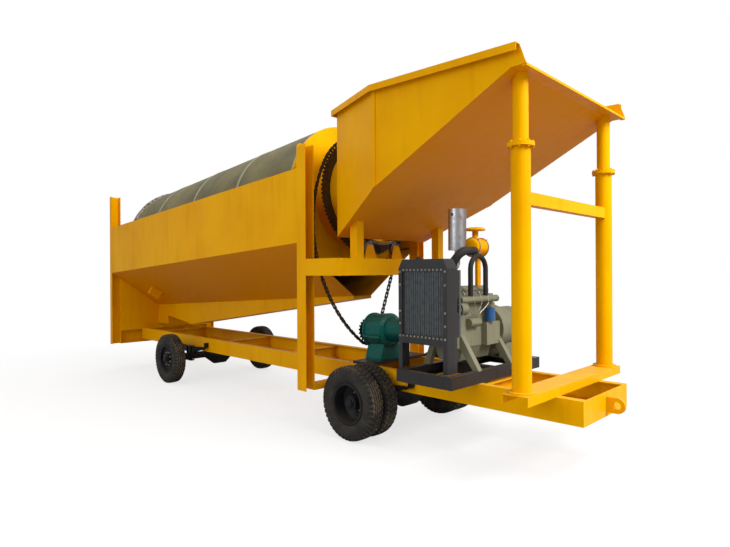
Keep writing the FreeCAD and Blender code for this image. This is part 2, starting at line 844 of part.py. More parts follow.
def hopper_rim():
    # Angle bar laid flat round the hopper's top, level at the back and falling towards the lip.
    top = "hopper_rim_height"
    outer = prism("rim_outer", "XY_Plane", rim_plan("rim_bar_width"), top + " - rim_bar_depth",
                  "rim_bar_depth")
    hollow = prism("rim_hollow", "XY_Plane", rim_plan("rim_bar_width - rim_bar_wall"),
                   top + " - 2 * rim_bar_depth",
                   "2 * rim_bar_depth - rim_bar_wall")
    inside = prism("rim_inside", "XY_Plane", hopper_plan("0", "hopper_lip_x"), top + " - 2 * rim_bar_depth",
                   "3 * rim_bar_depth")
    bars = [cut("rim_level", cut("rim_level_open", outer, hollow), inside)]
    for side, sign in SIDES:
        points = (("body_half", top), ("body_half + rim_bar_width", top),
                  ("body_half + rim_bar_width", top + " - rim_bar_depth"),
                  ("body_half + rim_bar_width - rim_bar_wall", top + " - rim_bar_depth"),
                  ("body_half + rim_bar_width - rim_bar_wall", top + " - rim_bar_wall"),
                  ("body_half", top + " - rim_bar_wall"))
        points = [("%d * (%s)" % (sign, across), up) for across, up in points]
        bars.append(prism("rim_side_" + side, "YZ_Plane", points, "hopper_crease_x",
                          "rim_front_x - hopper_crease_x",
                          "-rim_fall"))
    node(fuse("rim_bar", bars), "hopper_rim")


def hopper():
    # Plates welded edge to edge: floor, lip, two straight sides, two converging sides, back and its
    # feed spout.
    low = FLOOR_UNDER % "hopper_back_x" + " - floor_margin"
    rise = "hopper_rim_height - (%s)" % low
    bed = prism("hopper_bed", "XY_Plane", hopper_plan("hopper_wall", "hopper_bend_x"), low, rise)
    raised = cut("hopper_bed_raised", bed, below_floor("bed_limit"))
    node(cut("hopper_floor_plate", raised, above_floor("bed_top", "hopper_wall")), "hopper_floor")

    across = "2 * (body_half - hopper_wall)"
    sheet_item = box("lip_sheet", ("hopper_bend_x", "-(body_half - hopper_wall)", LIP_UNDER),
                     ("hopper_lip_x - hopper_bend_x", across, "hopper_wall"))
    bar = box("lip_bar", ("hopper_lip_x - lip_bar_width", "-(body_half - hopper_wall)",
                          "hopper_lip_height - lip_bar_depth"),
              ("lip_bar_width", across, "lip_bar_depth"))
    node(fuse("lip_all", [sheet_item, bar]), "hopper_lip")
    hopper_sides(low, rise)

    bore = turned("spout_bore", (
        ("neck_end - bore_margin", "0"),
        ("neck_end + bore_margin", "0"),
        ("neck_end + bore_margin", "spout_radius - hopper_wall"),
        ("neck_end - bore_margin", "spout_radius - hopper_wall"),
    ), "H_Axis")
    lean(bore)
    back = prism("hopper_back_slab", "XY_Plane", (
        ("hopper_back_x", "-hopper_back_half"),
        ("hopper_back_x + hopper_wall", "-(hopper_back_half - hopper_wall)"),
        ("hopper_back_x + hopper_wall", "hopper_back_half - hopper_wall"),
        ("hopper_back_x", "hopper_back_half"),
    ), low, rise)
    raised = cut("hopper_back_raised", back, below_floor("back_limit"))
    node(cut("hopper_back_plate", raised, bore), "hopper_back")

    tube = turned("spout_tube", (
        ("neck_end - spout_reach", "spout_radius - hopper_wall"),
        ("neck_end + bore_margin", "spout_radius - hopper_wall"),
        ("neck_end + bore_margin", "spout_radius"),
        ("neck_end - spout_reach", "spout_radius"),
    ), "H_Axis")
    lean(tube)
    behind = box("spout_limit", ("hopper_back_x", "-body_half", low),
                 ("hopper_lip_x - hopper_back_x", "2 * body_half", rise))
    node(cut("spout", tube, behind), "feed_spout")
    hopper_rim()


# Frame that carries the drum

def mid_post(side, sign):
    # A channel open to the front, its web rounded at the top.
    x0, x1 = "mid_post_x", "mid_post_x + mid_post_length"
    out = "%d * body_half" % sign
    inn = "%d * (body_half - mid_post_width)" % sign
    out_skin = "%d * (body_half - mid_post_wall)" % sign
    inn_skin = "%d * (body_half - mid_post_width + mid_post_wall)" % sign
    channel = prism("mid_post_" + side, "XY_Plane", (
        (x0, inn), (x1, inn), (x1, inn_skin), ("mid_post_x + mid_post_wall", inn_skin),
        ("mid_post_x + mid_post_wall", out_skin), (x1, out_skin), (x1, out), (x0, out),
    ), "foot_height", "mid_post_top - foot_height")
    end = box("mid_post_end_" + side,
              (x0 + " - mid_post_wall", flip(sign, "body_half - mid_post_width", "mid_post_width"),
               "mid_post_top - mid_post_width / 2"),
              ("mid_post_length + 2 * mid_post_wall", "mid_post_width", "mid_post_width"))
    crown = rod("mid_post_crown_" + side,
                (x0 + " - 2 * mid_post_wall", "%d * (body_half - mid_post_width / 2)" % sign,
                 "mid_post_top - mid_post_width / 2"),
                "X", "mid_post_length + 4 * mid_post_wall", "mid_post_width / 2")
    return cut("mid_post_rounded_" + side, channel, cut("mid_post_corners_" + side, end, crown))


def mid_frame():
    x0, x1 = "mid_post_x", "mid_post_x + mid_post_length"
    node(group("mid_posts_all", [mid_post(side, sign) for side, sign in SIDES]), "mid_posts")

    top = "beam_bottom"
    node(prism("mid_sill", "XZ_Plane", (
        (x0, "foot_height"), (x0 + " + mid_post_wall", "foot_height"),
        (x0 + " + mid_post_wall", top + " - mid_post_wall"),
        (x1 + " - mid_post_wall", top + " - mid_post_wall"), (x1 + " - mid_post_wall", "foot_height"),
        (x1, "foot_height"), (x1, top), (x0, top),
    ), "body_half - mid_post_width", "2 * (body_half - mid_post_width)"), "mid_sill")

    arms = [box("arm_" + side, ("mid_post_x + mid_post_length",
                                flip(sign, "body_half - platform_beam_width", "platform_beam_width"),
                                "platform_bottom"),
                ("platform_front - platform_beam_width - mid_post_x - mid_post_length", "platform_beam_width",
                 "platform_depth")) for side, sign in SIDES]
    node(group("arms_all", arms), "platform_arms")
    front = box("platform_front_bar",
                ("platform_front - platform_beam_width", "-body_half", "platform_bottom"),
                ("platform_beam_width", "2 * body_half", "platform_depth"))
    node(front, "platform_beam")
    node(box("roller_beam_bar", ("front_ring_station + roller_beam_set - roller_beam_width / 2",
                                 "-(body_half - platform_beam_width)", "platform_bottom"),
             ("roller_beam_width", "2 * (body_half - platform_beam_width)", "platform_depth")), "roller_beam")

    feet = []
    for side, sign in SIDES:
        foot = box("hopper_foot_" + side,
                   ("platform_front - hopper_foot_size",
                    flip(sign, "hopper_foot_offset - hopper_foot_size / 2", "hopper_foot_size"),
                    "platform_bottom + platform_depth"),
                   ("hopper_foot_size", "hopper_foot_size",
                    "hopper_lip_height - platform_bottom - platform_depth"))
        feet.append(cut("hopper_leg_" + side, foot, above_floor("leg_limit_" + side)))
    node(group("hopper_feet_all", feet), "hopper_feet")


PANEL_LENGTH = "mid_post_x - frame_rear - rear_post_length"
PANEL_START = "frame_rear + rear_post_length"
PANEL_LOW = "panel_top - panel_height - panel_slope * (%s)" % PANEL_LENGTH
TROUGH_DEPTH = "trough_slope * (body_half - flume_half)"


def trough_foot(x):
    # Height of the trough walls' lower edge, on their inner face, at one station.
    return "panel_top - panel_height - panel_slope * (mid_post_x - (%s)) - %s" % (x, TROUGH_DEPTH)


def side_walls():
    panels, walls = [], []
    high = PANEL_LOW + " + panel_height"
    for side, sign in SIDES:
        out = "%d * body_half" % sign
        skin = "%d * (body_half - sheet_wall)" % sign
        inn = "%d * (body_half - panel_flange)" % sign
        panels.append(prism("panel_" + side, "YZ_Plane", (
            (out, PANEL_LOW), (inn, PANEL_LOW), (inn, PANEL_LOW + " + sheet_wall"),
            (skin, PANEL_LOW + " + sheet_wall"),
            (skin, high + " - sheet_wall"), (inn, high + " - sheet_wall"), (inn, high), (out, high),
        ), PANEL_START, PANEL_LENGTH, "panel_slope"))
        foot = "%d * flume_half" % sign
        wall = prism("trough_wall_" + side, "YZ_Plane", (
            (out, PANEL_LOW), (out, PANEL_LOW + " - sheet_wall"),
            (foot, PANEL_LOW + " - sheet_wall - " + TROUGH_DEPTH), (foot, PANEL_LOW + " - " + TROUGH_DEPTH),
        ), PANEL_START, PANEL_LENGTH, "panel_slope")
        slot = ring("roller_slot_" + side, "rear_ring_station", "roller_width + 2 * stand_gap", "0",
                    "roller_radius + roller_slot")
        local(slot, *roller_spot("rear", sign))
        walls.append(cut("trough_side_" + side, wall, slot))
    node(group("panels_all", panels), "side_panels")
    node(group("walls_all", walls), "trough_walls")


def flume():
    # The channel under the trough's foot; its floor falls to the low point, then rises to its end.
    def profile(name, inset, half, rise):
        w = inset
        return prism(name, "XZ_Plane", (
            ("flume_rear + " + w, trough_foot("flume_rear") + " - sheet_wall + " + rise),
            ("mid_post_x - " + w, trough_foot("mid_post_x") + " - sheet_wall + " + rise),
            ("mid_post_x - " + w, trough_foot("mid_post_x") + " - flume_front_depth + " + w),
            ("flume_low_x", trough_foot("flume_low_x") + " - flume_low_depth + " + w),
            ("flume_rear + " + w, trough_foot("flume_rear") + " - flume_rear_depth + " + w),
        ), half, "2 * (%s)" % half)
    outer = profile("flume_outer", "0", "flume_half", "0")
    inner = profile("flume_inner", "sheet_wall", "flume_half - sheet_wall", "flume_half")
    node(cut("flume_box", outer, inner), "flume")

    foot = trough_foot("flume_rear + sheet_wall") + " + seat_gap"
    wide = "flume_half - seat_gap + bulkhead_height / trough_slope"
    floor = "flume_half - seat_gap"
    node(prism("bulkhead_plate", "YZ_Plane", (
        ("-(%s)" % floor, foot), (floor, foot), (wide, foot + " + bulkhead_height"),
        ("-(%s)" % wide, foot + " + bulkhead_height"),
    ), "flume_rear", "sheet_wall"), "trough_bulkhead")

    start, end = PANEL_START, "flume_rear"
    skirt = prism("chute_outer", "XZ_Plane", (
        (start, "chute_bottom"), (end, "chute_bottom"),
        (end, trough_foot(end) + " - sheet_wall"), (start, trough_foot(start) + " - sheet_wall"),
    ), "flume_half", "2 * flume_half")
    core = box("chute_core",
               (start + " + sheet_wall", "-(flume_half - sheet_wall)", "chute_bottom - sheet_wall"),
               ("%s - (%s) - 2 * sheet_wall" % (end, start), "2 * (flume_half - sheet_wall)", "chute_bottom"))
    node(cut("chute", skirt, core), "tail_chute")


def rear_frame():
    posts = []
    x0, x1 = "frame_rear", "frame_rear + rear_post_length"
    for side, sign in SIDES:
        out = "%d * body_half" % sign
        inn = "%d * (body_half - rear_post_width)" % sign
        out_skin = "%d * (body_half - mid_post_wall)" % sign
        inn_skin = "%d * (body_half - rear_post_width + mid_post_wall)" % sign
        posts.append(prism("rear_post_" + side, "XY_Plane", (
            (x0, inn), (x1, inn), (x1, inn_skin), (x0 + " + mid_post_wall", inn_skin),
            (x0 + " + mid_post_wall", out_skin), (x1, out_skin), (x1, out), (x0, out),
        ), "foot_height", "rear_post_top - foot_height"))
    node(group("rear_posts_all", posts), "rear_posts")

    span = "body_half - rear_post_width"
    top = "foot_height + rear_sill_depth"
    node(prism("rear_sill_bar", "XZ_Plane", (
        (x1, "foot_height"), (x1, "foot_height + mid_post_wall"),
        (x0 + " + mid_post_wall", "foot_height + mid_post_wall"),
        (x0 + " + mid_post_wall", top + " - mid_post_wall"), (x1, top + " - mid_post_wall"), (x1, top),
        (x0, top), (x0, "foot_height"),
    ), span, "2 * (%s)" % span), "rear_sill")

    under = trough_foot(x1) + " - sheet_wall"
    edge = under + " + trough_slope * (%s - flume_half)" % span
    node(prism("rear_sheet", "YZ_Plane", (
        ("-(%s)" % span, top), (span, top), (span, edge), ("flume_half", under),
        ("-flume_half", under), ("-(%s)" % span, edge),
    ), x1 + " - sheet_wall", "sheet_wall"), "rear_closing_sheet")


# Drum, its rings and rollers. Distances run along the leaning axis from where it crosses X = 0.

FRONT_RING = "neck_radius + ring_height"
REAR_RING = "drum_radius + ring_height"
FRONT_REACH = FRONT_RING + " + roller_play + roller_radius"
REAR_REACH = REAR_RING + " + roller_play + roller_radius"


def sketch_of(item):
    return [feature for feature in item.Group if feature.TypeId == "Sketcher::SketchObject"][0]


def local(item, y, z):
    # Shifts a leaning piece sideways and down from the drum's axis.
    sketch = sketch_of(item)
    bind(sketch, "AttachmentOffset.Base.y", y)
    bind(sketch, "AttachmentOffset.Base.z", z)


def ring(name, middle, width, inner, outer):
    spin = turned(name, (
        ("%s - (%s) / 2" % (middle, width), inner), ("%s + (%s) / 2" % (middle, width), inner),
        ("%s + (%s) / 2" % (middle, width), outer), ("%s - (%s) / 2" % (middle, width), outer),
    ), "H_Axis")
    lean(spin)
    return spin


def leaning_prism(name, points, start, length):
    # Pads an outline square to the drum's axis, from its start along that axis.
    item = prism(name, "YZ_Plane", points, "0", length)
    bind(sketch_of(item), "AttachmentOffset.Base.z", start)
    lean(item)
    return item


def toothed(name, profile, tip, teeth, y="0", z="0"):
    # A turned blank with a row of notches cut into its rim, the solid left between them being the teeth.
    body = turned(name, profile, "H_Axis")
    blank = sketch_of(body)
    bind(blank, "AttachmentOffset.Base.y", y)
    bind(blank, "AttachmentOffset.Base.z", z)
    mouth = "(2 * notch_mouth_half - notch_root_half)"
    notch = outline(body, "YZ_Plane", (
        (tip + " - tooth_depth", "-notch_root_half"), (tip + " + tooth_depth", "-" + mouth),
        (tip + " + tooth_depth", mouth), (tip + " - tooth_depth", "notch_root_half")))
    bind(notch, "AttachmentOffset.Base.x", y)
    bind(notch, "AttachmentOffset.Base.y", z)
    pocket = body.newObject("PartDesign::Pocket", name + "_notch")
    pocket.Profile = notch
    pocket.Type = "ThroughAll"
    pocket.SideType = "Symmetric"
    row = body.newObject("PartDesign::PolarPattern", name + "_teeth")
    row.Originals = [pocket]
    row.Axis = (blank, ["H_Axis"])
    row.Angle = 360
    bind(row, "Occurrences", teeth)
    body.Tip = row
    lean(body)
    return body


def screen():
    # The drum's shell, with a welded hoop over each seam between its plates and one at its open end.
    half = "hoop_width / 2"
    points = [("drum_front", "drum_radius - drum_wall"), ("drum_front", "drum_radius")]
    for seam in (1, 2, 3):
        middle = "drum_front - %d * drum_course" % seam
        points += [(middle + " + " + half, "drum_radius"),
                   (middle + " + " + half, "drum_radius + hoop_height"),
                   (middle + " - " + half, "drum_radius + hoop_height"),
                   (middle + " - " + half, "drum_radius")]
    points += [("drum_rear + hoop_width", "drum_radius"),
               ("drum_rear + hoop_width", "drum_radius + hoop_height"),
               ("drum_rear", "drum_radius + hoop_height"), ("drum_rear", "drum_radius - drum_wall")]
    shell = turned("screen", points, "H_Axis")
    lean(shell)
    node(shell, "drum_screen")


def lifters():
    # Angle bars along the inside of the drum that carry the load up as it turns.
    seat = "sqrt((drum_radius - drum_wall - seat_gap) ^ 2 - lifter_width ^ 2)"
    low, high = "-lifter_wall / 2", "lifter_width - lifter_wall / 2"
    corners = ((seat, low), (seat, high), (seat + " - lifter_wall", high),
               (seat + " - lifter_wall", "lifter_wall / 2"),
               (seat + " - lifter_height", "lifter_wall / 2"), (seat + " - lifter_height", low))
    count = int(size("lifter_count"))
    bars = []
    for index in range(count):
        turn = "360 * (%d + 0.5) / lifter_count" % index
        points = [("(%s) * cos(%s) - (%s) * sin(%s)" % (out, turn, aside, turn),
                   "(%s) * sin(%s) + (%s) * cos(%s)" % (out, turn, aside, turn)) for out, aside in corners]
        bars.append(leaning_prism("lifter_%d" % index, points, "drum_rear + lifter_inset",
                                  "drum_front - drum_rear - 2 * lifter_inset"))
    node(group("lifters_all", bars), "drum_lifters")


def drum():
    screen()
    lifters()
    inner = "neck_radius - neck_wall"
    head = turned("head", (
        ("drum_front", inner), ("drum_front", "drum_radius"), ("drum_front + drum_head_thick", "drum_radius"),
        ("drum_front + drum_head_thick", "neck_radius"), ("neck_end", "neck_radius"), ("neck_end", inner),
    ), "H_Axis")
    lean(head)
    node(head, "drum_head")
    node(ring("ring_front", "front_ring_station", "ring_width", "neck_radius", FRONT_RING),
         "front_riding_ring")
    node(ring("ring_rear", "rear_ring_station", "ring_width", "drum_radius", REAR_RING), "rear_riding_ring")
    tip = "(chain_pitch_radius * cos(180 / ring_teeth) - chain_half - sprocket_play)"
    side = "sprocket_thick / 2"
    node(toothed("wheel_chain", (
        ("chain_station - " + side, "neck_radius"), ("chain_station + " + side, "neck_radius"),
        ("chain_station + " + side, tip), ("chain_station - " + side, tip),
    ), tip, "ring_teeth"), "chain_ring")


def roller_spot(end, sign):
    # Sideways and down from the drum's axis to one roller's own axis.
    reach, angle = {"front": (FRONT_REACH, "front_roller_angle"),
                    "rear": (REAR_REACH, "rear_roller_angle")}[end]
    return "%d * (%s) * sin(%s)" % (sign, reach, angle), "-(%s) * cos(%s)" % (reach, angle)


def front_stand(side, pin, y, z):
    # Two tapering plates on the platform, one either side of the roller, joined by its pin.
    plates = [pin]
    for spot, way in (("a", -1), ("b", 1)):
        middle = "front_ring_station + %d * (roller_width / 2 + stand_gap + stand_plate / 2)" % way
        plates.append(leaning_prism("stand_%s_%s" % (side, spot), (
            (y + " - stand_foot_half", z + " - platform_depth"),
            (y + " + stand_foot_half", z + " - platform_depth"),
            (y + " + stand_top_half", z + " + stand_top_rise"),
            (y + " - stand_top_half", z + " + stand_top_rise"),
        ), middle + " - stand_plate / 2", "stand_plate"))
    below = box("stand_floor_" + side, ("0", "-body_half", "0"),
                ("platform_front", "2 * body_half", "platform_bottom + platform_depth"))
    return cut("stand_front_" + side, fuse("stand_joined_" + side, plates), below)


def rear_housing(side, sign, pin, y, z):
    # A welded box under the trough's wall that holds the roller's pin and closes round the wall's slot.
    lie = "atan(trough_slope)"

    def corner(along, down):
        return ("%s + %d * ((%s) * cos(%s) + (%s) * sin(%s))" % (y, sign, along, lie, down, lie),
                "%s + (%s) * sin(%s) - (%s) * cos(%s)" % (z, along, lie, down, lie))

    def shape(name, inset, start, length):
        mouth, base = "housing_mouth_half - " + inset, "housing_base_half - " + inset
        return leaning_prism(name, (
            corner("-(%s)" % mouth, "-housing_rise - " + inset), corner(mouth, "-housing_rise - " + inset),
            corner(base, "housing_depth - " + inset), corner("-(%s)" % base, "housing_depth - " + inset),
        ), start, length)
    gap = "(roller_width / 2 + stand_gap)"
    outer = shape("housing_outer_" + side, "0", "rear_ring_station - %s - stand_plate" % gap,
                  "2 * (%s + stand_plate)" % gap)
    inner = shape("housing_inner_" + side, "housing_wall", "rear_ring_station - " + gap, "2 * " + gap)
    shell = fuse("housing_all_" + side, [cut("housing_open_" + side, outer, inner), pin])
    out, foot = "%d * body_half" % sign, "%d * flume_half" % sign
    under = PANEL_LOW + " - sheet_wall - seat_gap"
    over = prism("housing_limit_" + side, "YZ_Plane", (
        (out, under), (foot, under + " - " + TROUGH_DEPTH), (foot, under + " + body_half"),
        (out, under + " + body_half"),
    ), PANEL_START, PANEL_LENGTH, "panel_slope")
    return cut("housing_" + side, shell, over)


def rollers():
    stands = []
    for end, station in (("front", "front_ring_station"), ("rear", "rear_ring_station")):
        for side, sign in SIDES:
            tag = "%s_%s" % (end, side)
            y, z = roller_spot(end, sign)
            roller = ring("roller_" + tag, station, "roller_width", "roller_pin + pin_play", "roller_radius")
            local(roller, y, z)
            node(roller, "%s_roller_%s" % (end, side))
            pin = ring("pin_" + tag, station, "roller_width + 2 * (stand_gap + stand_plate)", "0",
                       "roller_pin")
            local(pin, y, z)
            stands.append(front_stand(side, pin, y, z) if end == "front" else rear_housing(side, sign, pin,
                                                                                           y, z))
    node(group("stands_all", stands), "roller_stands")


# Drive: gear unit with its motor, the sprocket and the roller chain up to the toothed ring

def chain_path():
    # The chain's middle line: over the ring, down in a slack bow, under the sprocket and straight back up.
    big, small = size("chain_pitch_radius"), size("drive_pitch_radius")
    dy, dz = size("drive_offset"), -size("drive_drop")
    gap, lead = math.hypot(dy, dz), math.atan2(dz, dy)
    bow = size("chain_bow_radius")

    def on(centre, radius, angle):
        return centre + Vector(0, radius * math.cos(angle), radius * math.sin(angle))
    top, foot = Vector(0, 0, 0), Vector(0, dy, dz)
    tight = lead + math.acos((big - small) / gap)
    reach, rest = bow - big, bow - small
    swing = lead + math.acos((reach ** 2 + gap ** 2 - rest ** 2) / (2 * reach * gap))
    middle = on(top, reach, swing)
    leave = on(top, -big, swing)
    away = (foot - middle).normalize()
    meet = foot + away * small
    half_way = ((leave - middle) + (meet - middle)).normalize()
    edges = [
        Part.Arc(on(top, big, tight), on(top, -big, lead), leave).toShape(),
        Part.Arc(leave, middle + half_way * bow, meet).toShape(),
        Part.Arc(meet, on(foot, small, lead), on(foot, small, tight)).toShape(),
        Part.makeLine(on(foot, small, tight), on(top, big, tight)),
    ]
    return Part.Wire(edges)


def drive_chain():
    # Wide outer links and narrow roller links in turn, each running past its pins into the next.
    path = chain_path()
    pairs = round(path.Length / size("chain_pitch") / 2)
    joints = path.discretize(Number=2 * pairs + 1)[:-1]
    kinds = (
        # width, half height, reach past the pin
        (size("chain_width"), size("chain_half"), size("chain_lap")),
        (size("roller_link_width"), size("roller_link_half"), size("roller_link_lap")),
    )
    station = Vector(size("chain_station"), 0, 0)
    links = []
    for index, pin in enumerate(joints):
        width, half, lap = kinds[index % 2]
        along = joints[(index + 1) % len(joints)] - pin
        bar = Part.makeBox(width, along.Length + 2 * lap, 2 * half, Vector(-width / 2, -lap, -half))
        bar.Placement = Placement(pin + station, Rotation(Vector(0, 1, 0), along))
        links.append(bar)
    joined = links[0].multiFuse(links[1:]).removeSplitter()
    chain = doc.addObject("Part::Feature", "chain_loop")
    chain.Shape = joined.Solids[0]
    lean(chain)
    node(chain, "drive_chain")


def drive():
    y, z = "drive_offset", "-drive_drop"
    tip = "(drive_pitch_radius * cos(180 / drive_teeth) - chain_half - sprocket_play)"
    near, far = "chain_station - sprocket_thick / 2", "chain_station + sprocket_thick / 2"
    node(toothed("sprocket_hub", (
        (near, "0"), (near, tip), (far, tip), (far, "drive_hub_radius"),
        ("chain_station + drive_hub_reach", "drive_hub_radius"),
        ("chain_station + drive_hub_reach", "drive_shaft_radius"),
        ("chain_station + drive_shaft_reach", "drive_shaft_radius"),
        ("chain_station + drive_shaft_reach", "0"),
    ), tip, "drive_teeth", y, z), "drive_sprocket")

    face = "chain_station + gearbox_gap"
    end = "chain_station + drive_shaft_reach + shaft_end_gap"
    collar = face + " + gearbox_nose_length"
    back = collar + " + gearbox_length"
    tail = back + " + motor_length"
    unit = turned("gear_unit", (
        (end, "0"), (end, "drive_shaft_radius + pin_play"), (face, "drive_shaft_radius + pin_play"),
        (face, "gearbox_nose - gearbox_flange_thick"), (collar, "gearbox_nose"), (collar, "gearbox_flange"),
        (collar + " + gearbox_flange_thick", "gearbox_flange"),
        (collar + " + gearbox_flange_thick", "gearbox_radius"),
        (back, "gearbox_radius"), (back + " + gearbox_flange_thick", "motor_radius + gearbox_flange_thick"),
        (back + " + gearbox_flange_thick", "motor_radius"), (tail + " - motor_cowl_length", "motor_radius"),
        (tail + " - motor_cowl_length", "motor_cowl"), (tail, "motor_cowl"), (tail, "0"),
    ), "H_Axis")
    lean(unit)
    local(unit, y, z)
    base = "beam_bottom + beam_depth + gearbox_base"
    x = "chain_station * cos(drum_tilt) + drive_drop * sin(drum_tilt) + gearbox_gap + gearbox_nose_length"
    foot = prism("gear_foot", "YZ_Plane", (
        ("drive_offset - gearbox_foot_half", base), ("drive_offset + gearbox_foot_half", base),
        ("drive_offset + gearbox_foot_half", base + " + gearbox_foot_thick"),
        ("drive_offset + gearbox_nose", base + " + gearbox_radius"),
        ("drive_offset - gearbox_nose", base + " + gearbox_radius"),
        ("drive_offset - gearbox_foot_half", base + " + gearbox_foot_thick"),
    ), x + " + gearbox_flange_thick", "gearbox_length - gearbox_flange_thick")
    flange = box("gear_split",
                 (x + " + gearbox_flange_thick", "drive_offset - gearbox_flange", base + " + gearbox_split"),
                 ("gearbox_length - gearbox_flange_thick", "2 * gearbox_flange", "gearbox_flange_thick"))
    crown = box("gear_terminals",
                (x + " + gearbox_length + motor_cowl_length", "drive_offset - drive_hub_radius",
                                   base + " + gearbox_split"),
                ("motor_cowl_length", "2 * drive_hub_radius", "gearbox_radius"))
    node(fuse("gearbox_all", [unit, foot, flange, crown]), "gearbox")
    node(box("gear_base", (x, "-chassis_half", "beam_bottom + beam_depth"),
             ("gearbox_length + gearbox_flange_thick", "2 * chassis_half", "gearbox_base")), "gearbox_base")


# Engine set on its skid

DECK = "beam_bottom + beam_depth + skid_depth"


def channel(name, axis, start, length, web, way):
    # A rolled channel standing on the chassis: web at one side, flanges reaching inward.
    base, top = "beam_bottom + beam_depth", DECK
    inner = "%s + %d * skid_width" % (web, way)
    skin = "%s + %d * skid_wall" % (web, way)
    points = ((web, base), (inner, base), (inner, base + " + skid_wall"), (skin, base + " + skid_wall"),
              (skin, top + " - skid_wall"), (inner, top + " - skid_wall"), (inner, top), (web, top))
    return prism(name, axis, points, start, length)


def skid():
    run = "skid_far - skid_near"
    rails = [
        channel("skid_rail_rear", "XZ_Plane", "skid_far", run, "skid_rear", 1),
        channel("skid_rail_front", "XZ_Plane", "skid_far", run, "skid_front", -1),
        channel("skid_end_near", "YZ_Plane", "skid_rear", "skid_front - skid_rear", "skid_near", 1),
        channel("skid_end_far", "YZ_Plane", "skid_rear", "skid_front - skid_rear", "skid_far", -1),
        channel("skid_tie", "YZ_Plane", "skid_rear + skid_wall", "skid_front - skid_rear - 2 * skid_wall",
                "skid_tie_y", 1),
    ]
    node(fuse("skid_all", rails), "engine_skid")


def across(name, widths, start, length):
    # A piece of even section along the crankshaft: (half width, height) pairs up one side, mirrored.
    right = [("engine_x + " + half, height) for half, height in widths]
    left = [("engine_x - " + half, height) for half, height in widths]
    return prism(name, "XZ_Plane", right + left[::-1], start, length)


def engine():
    run = "engine_far - engine_near"
    pieces = [
        across("engine_pan", (("pan_half", "pan_bottom"), ("block_half - skid_wall", "block_bottom")),
               "engine_far - flywheel_length / 2", run + " - flywheel_length"),
        across("engine_block", (("block_half", "block_bottom"), ("block_half", "crank_height"),
                                ("block_top_half", "block_top")), "engine_far", run),
        across("engine_head", (("head_half", "block_top"), ("head_half", "head_top")),
               "engine_far - skid_wall", run + " - 2 * skid_wall"),
        across("engine_cover", (("cover_half", "head_top"), ("cover_half", "head_top + cover_half / 2"),
                                ("cover_half / 2", "cover_top")), "engine_far - skid_width",
                                run + " - 2 * skid_width"),
        rod("flywheel_case", ("engine_x", "engine_far", "crank_height"), "Y", "flywheel_length",
            "flywheel_radius"),
        rod("generator_case", ("engine_x", "engine_far + flywheel_length", "crank_height"), "Y",
            "generator_end - engine_far - flywheel_length", "generator_radius"),
        rod("crank_pulley", ("engine_x", "engine_near - pulley_width", "crank_height"), "Y", "pulley_width",
            "pulley_radius"),
        rod("fan_pulley", ("engine_x", "engine_near - pulley_width", "fan_height"), "Y", "pulley_width",
            "pulley_radius * 0.7"),
        rod("fan_spindle", ("engine_x", "fan_y", "fan_height"), "Y", "engine_near - fan_y", "fan_shaft"),
        rod("alternator", ("engine_x + manifold_set", "engine_near - pulley_width", "filter_top"), "Y",
            "4 * pulley_width", "filter_radius * 1.4"),
        rod("injection_pump", ("engine_x + manifold_set", "engine_near + flywheel_length", "filter_bottom"),
            "Y",
            "flywheel_length", "filter_radius"),
        rod("starter", ("engine_x - manifold_set", "engine_far - flywheel_length", "block_bottom"), "Y",
            "flywheel_length", "filter_radius"),
        box("side_case",
            ("engine_x + block_half - skid_wall", "engine_far - 1.6 * flywheel_length", "block_bottom"),
            ("side_case_width + skid_wall", "1.4 * flywheel_length",
             "filter_bottom - block_bottom - skid_wall")),
        rod("oil_filter", ("filter_x", "filter_y", "filter_bottom"), "Z", "filter_top - filter_bottom",
            "filter_radius"),
        box("filter_head", ("engine_x + head_half", "filter_y - filter_radius", "filter_top"),
            ("filter_x + filter_radius - engine_x - head_half", "2 * filter_radius", "filter_radius / 2")),
    ]
    for side, sign in (("intake", 1), ("exhaust", -1)):
        x = "engine_x + %d * manifold_set" % sign
        pieces.append(rod("manifold_" + side, (x, "engine_near + pulley_width", "manifold_height"), "Y",
                          run + " - 2 * pulley_width", "manifold_radius"))
        start = "engine_x" if sign > 0 else "engine_x - manifold_set"
        for index in range(4):
            y = "engine_near + (%d + 0.5) * (%s) / 4" % (index, run)
            pieces.append(rod("port_%s_%d" % (side, index), (start, y, "manifold_height"), "X",
                              "manifold_set",
                              "manifold_radius * 0.7"))
    for sign, rail in ((1, "skid_front"), (-1, "skid_rear")):
        for index, y in enumerate(("engine_near + 2 * skid_width", "engine_far")):
            pieces.append(prism("engine_mount_%d_%d" % (sign + 1, index), "XZ_Plane", (
                ("engine_x + %d * (block_half - skid_wall)" % sign, "crank_height"),
                ("engine_x + %d * (block_half + skid_wall)" % sign, "crank_height"),
                (rail, DECK + " + skid_wall"), (rail, DECK),
                ("%s - %d * skid_width" % (rail, sign), DECK),
                ("engine_x + %d * (block_half - skid_wall)" % sign, "block_bottom"),
            ), y, "skid_width"))
    for sign in (1, -1):
        pieces.append(box("generator_foot_%d" % (sign + 1), (
            "engine_x + %d * generator_radius / 2 - skid_width / 2" % sign,
            "engine_far + flywheel_length + skid_wall",
            DECK), ("skid_width", "generator_end - engine_far - flywheel_length - 2 * skid_wall",
                    "crank_height - (%s) - generator_radius * 0.8" % DECK)))
    for index, y in enumerate(("engine_far + flywheel_length + skid_width", "generator_end - skid_width")):
        pieces.append(box("generator_rail_%d" % index, ("skid_rear", y + " - skid_width / 2", DECK),
                          ("skid_front - skid_rear", "skid_width", "skid_wall")))
    node(fuse("engine_all", pieces), "engine")


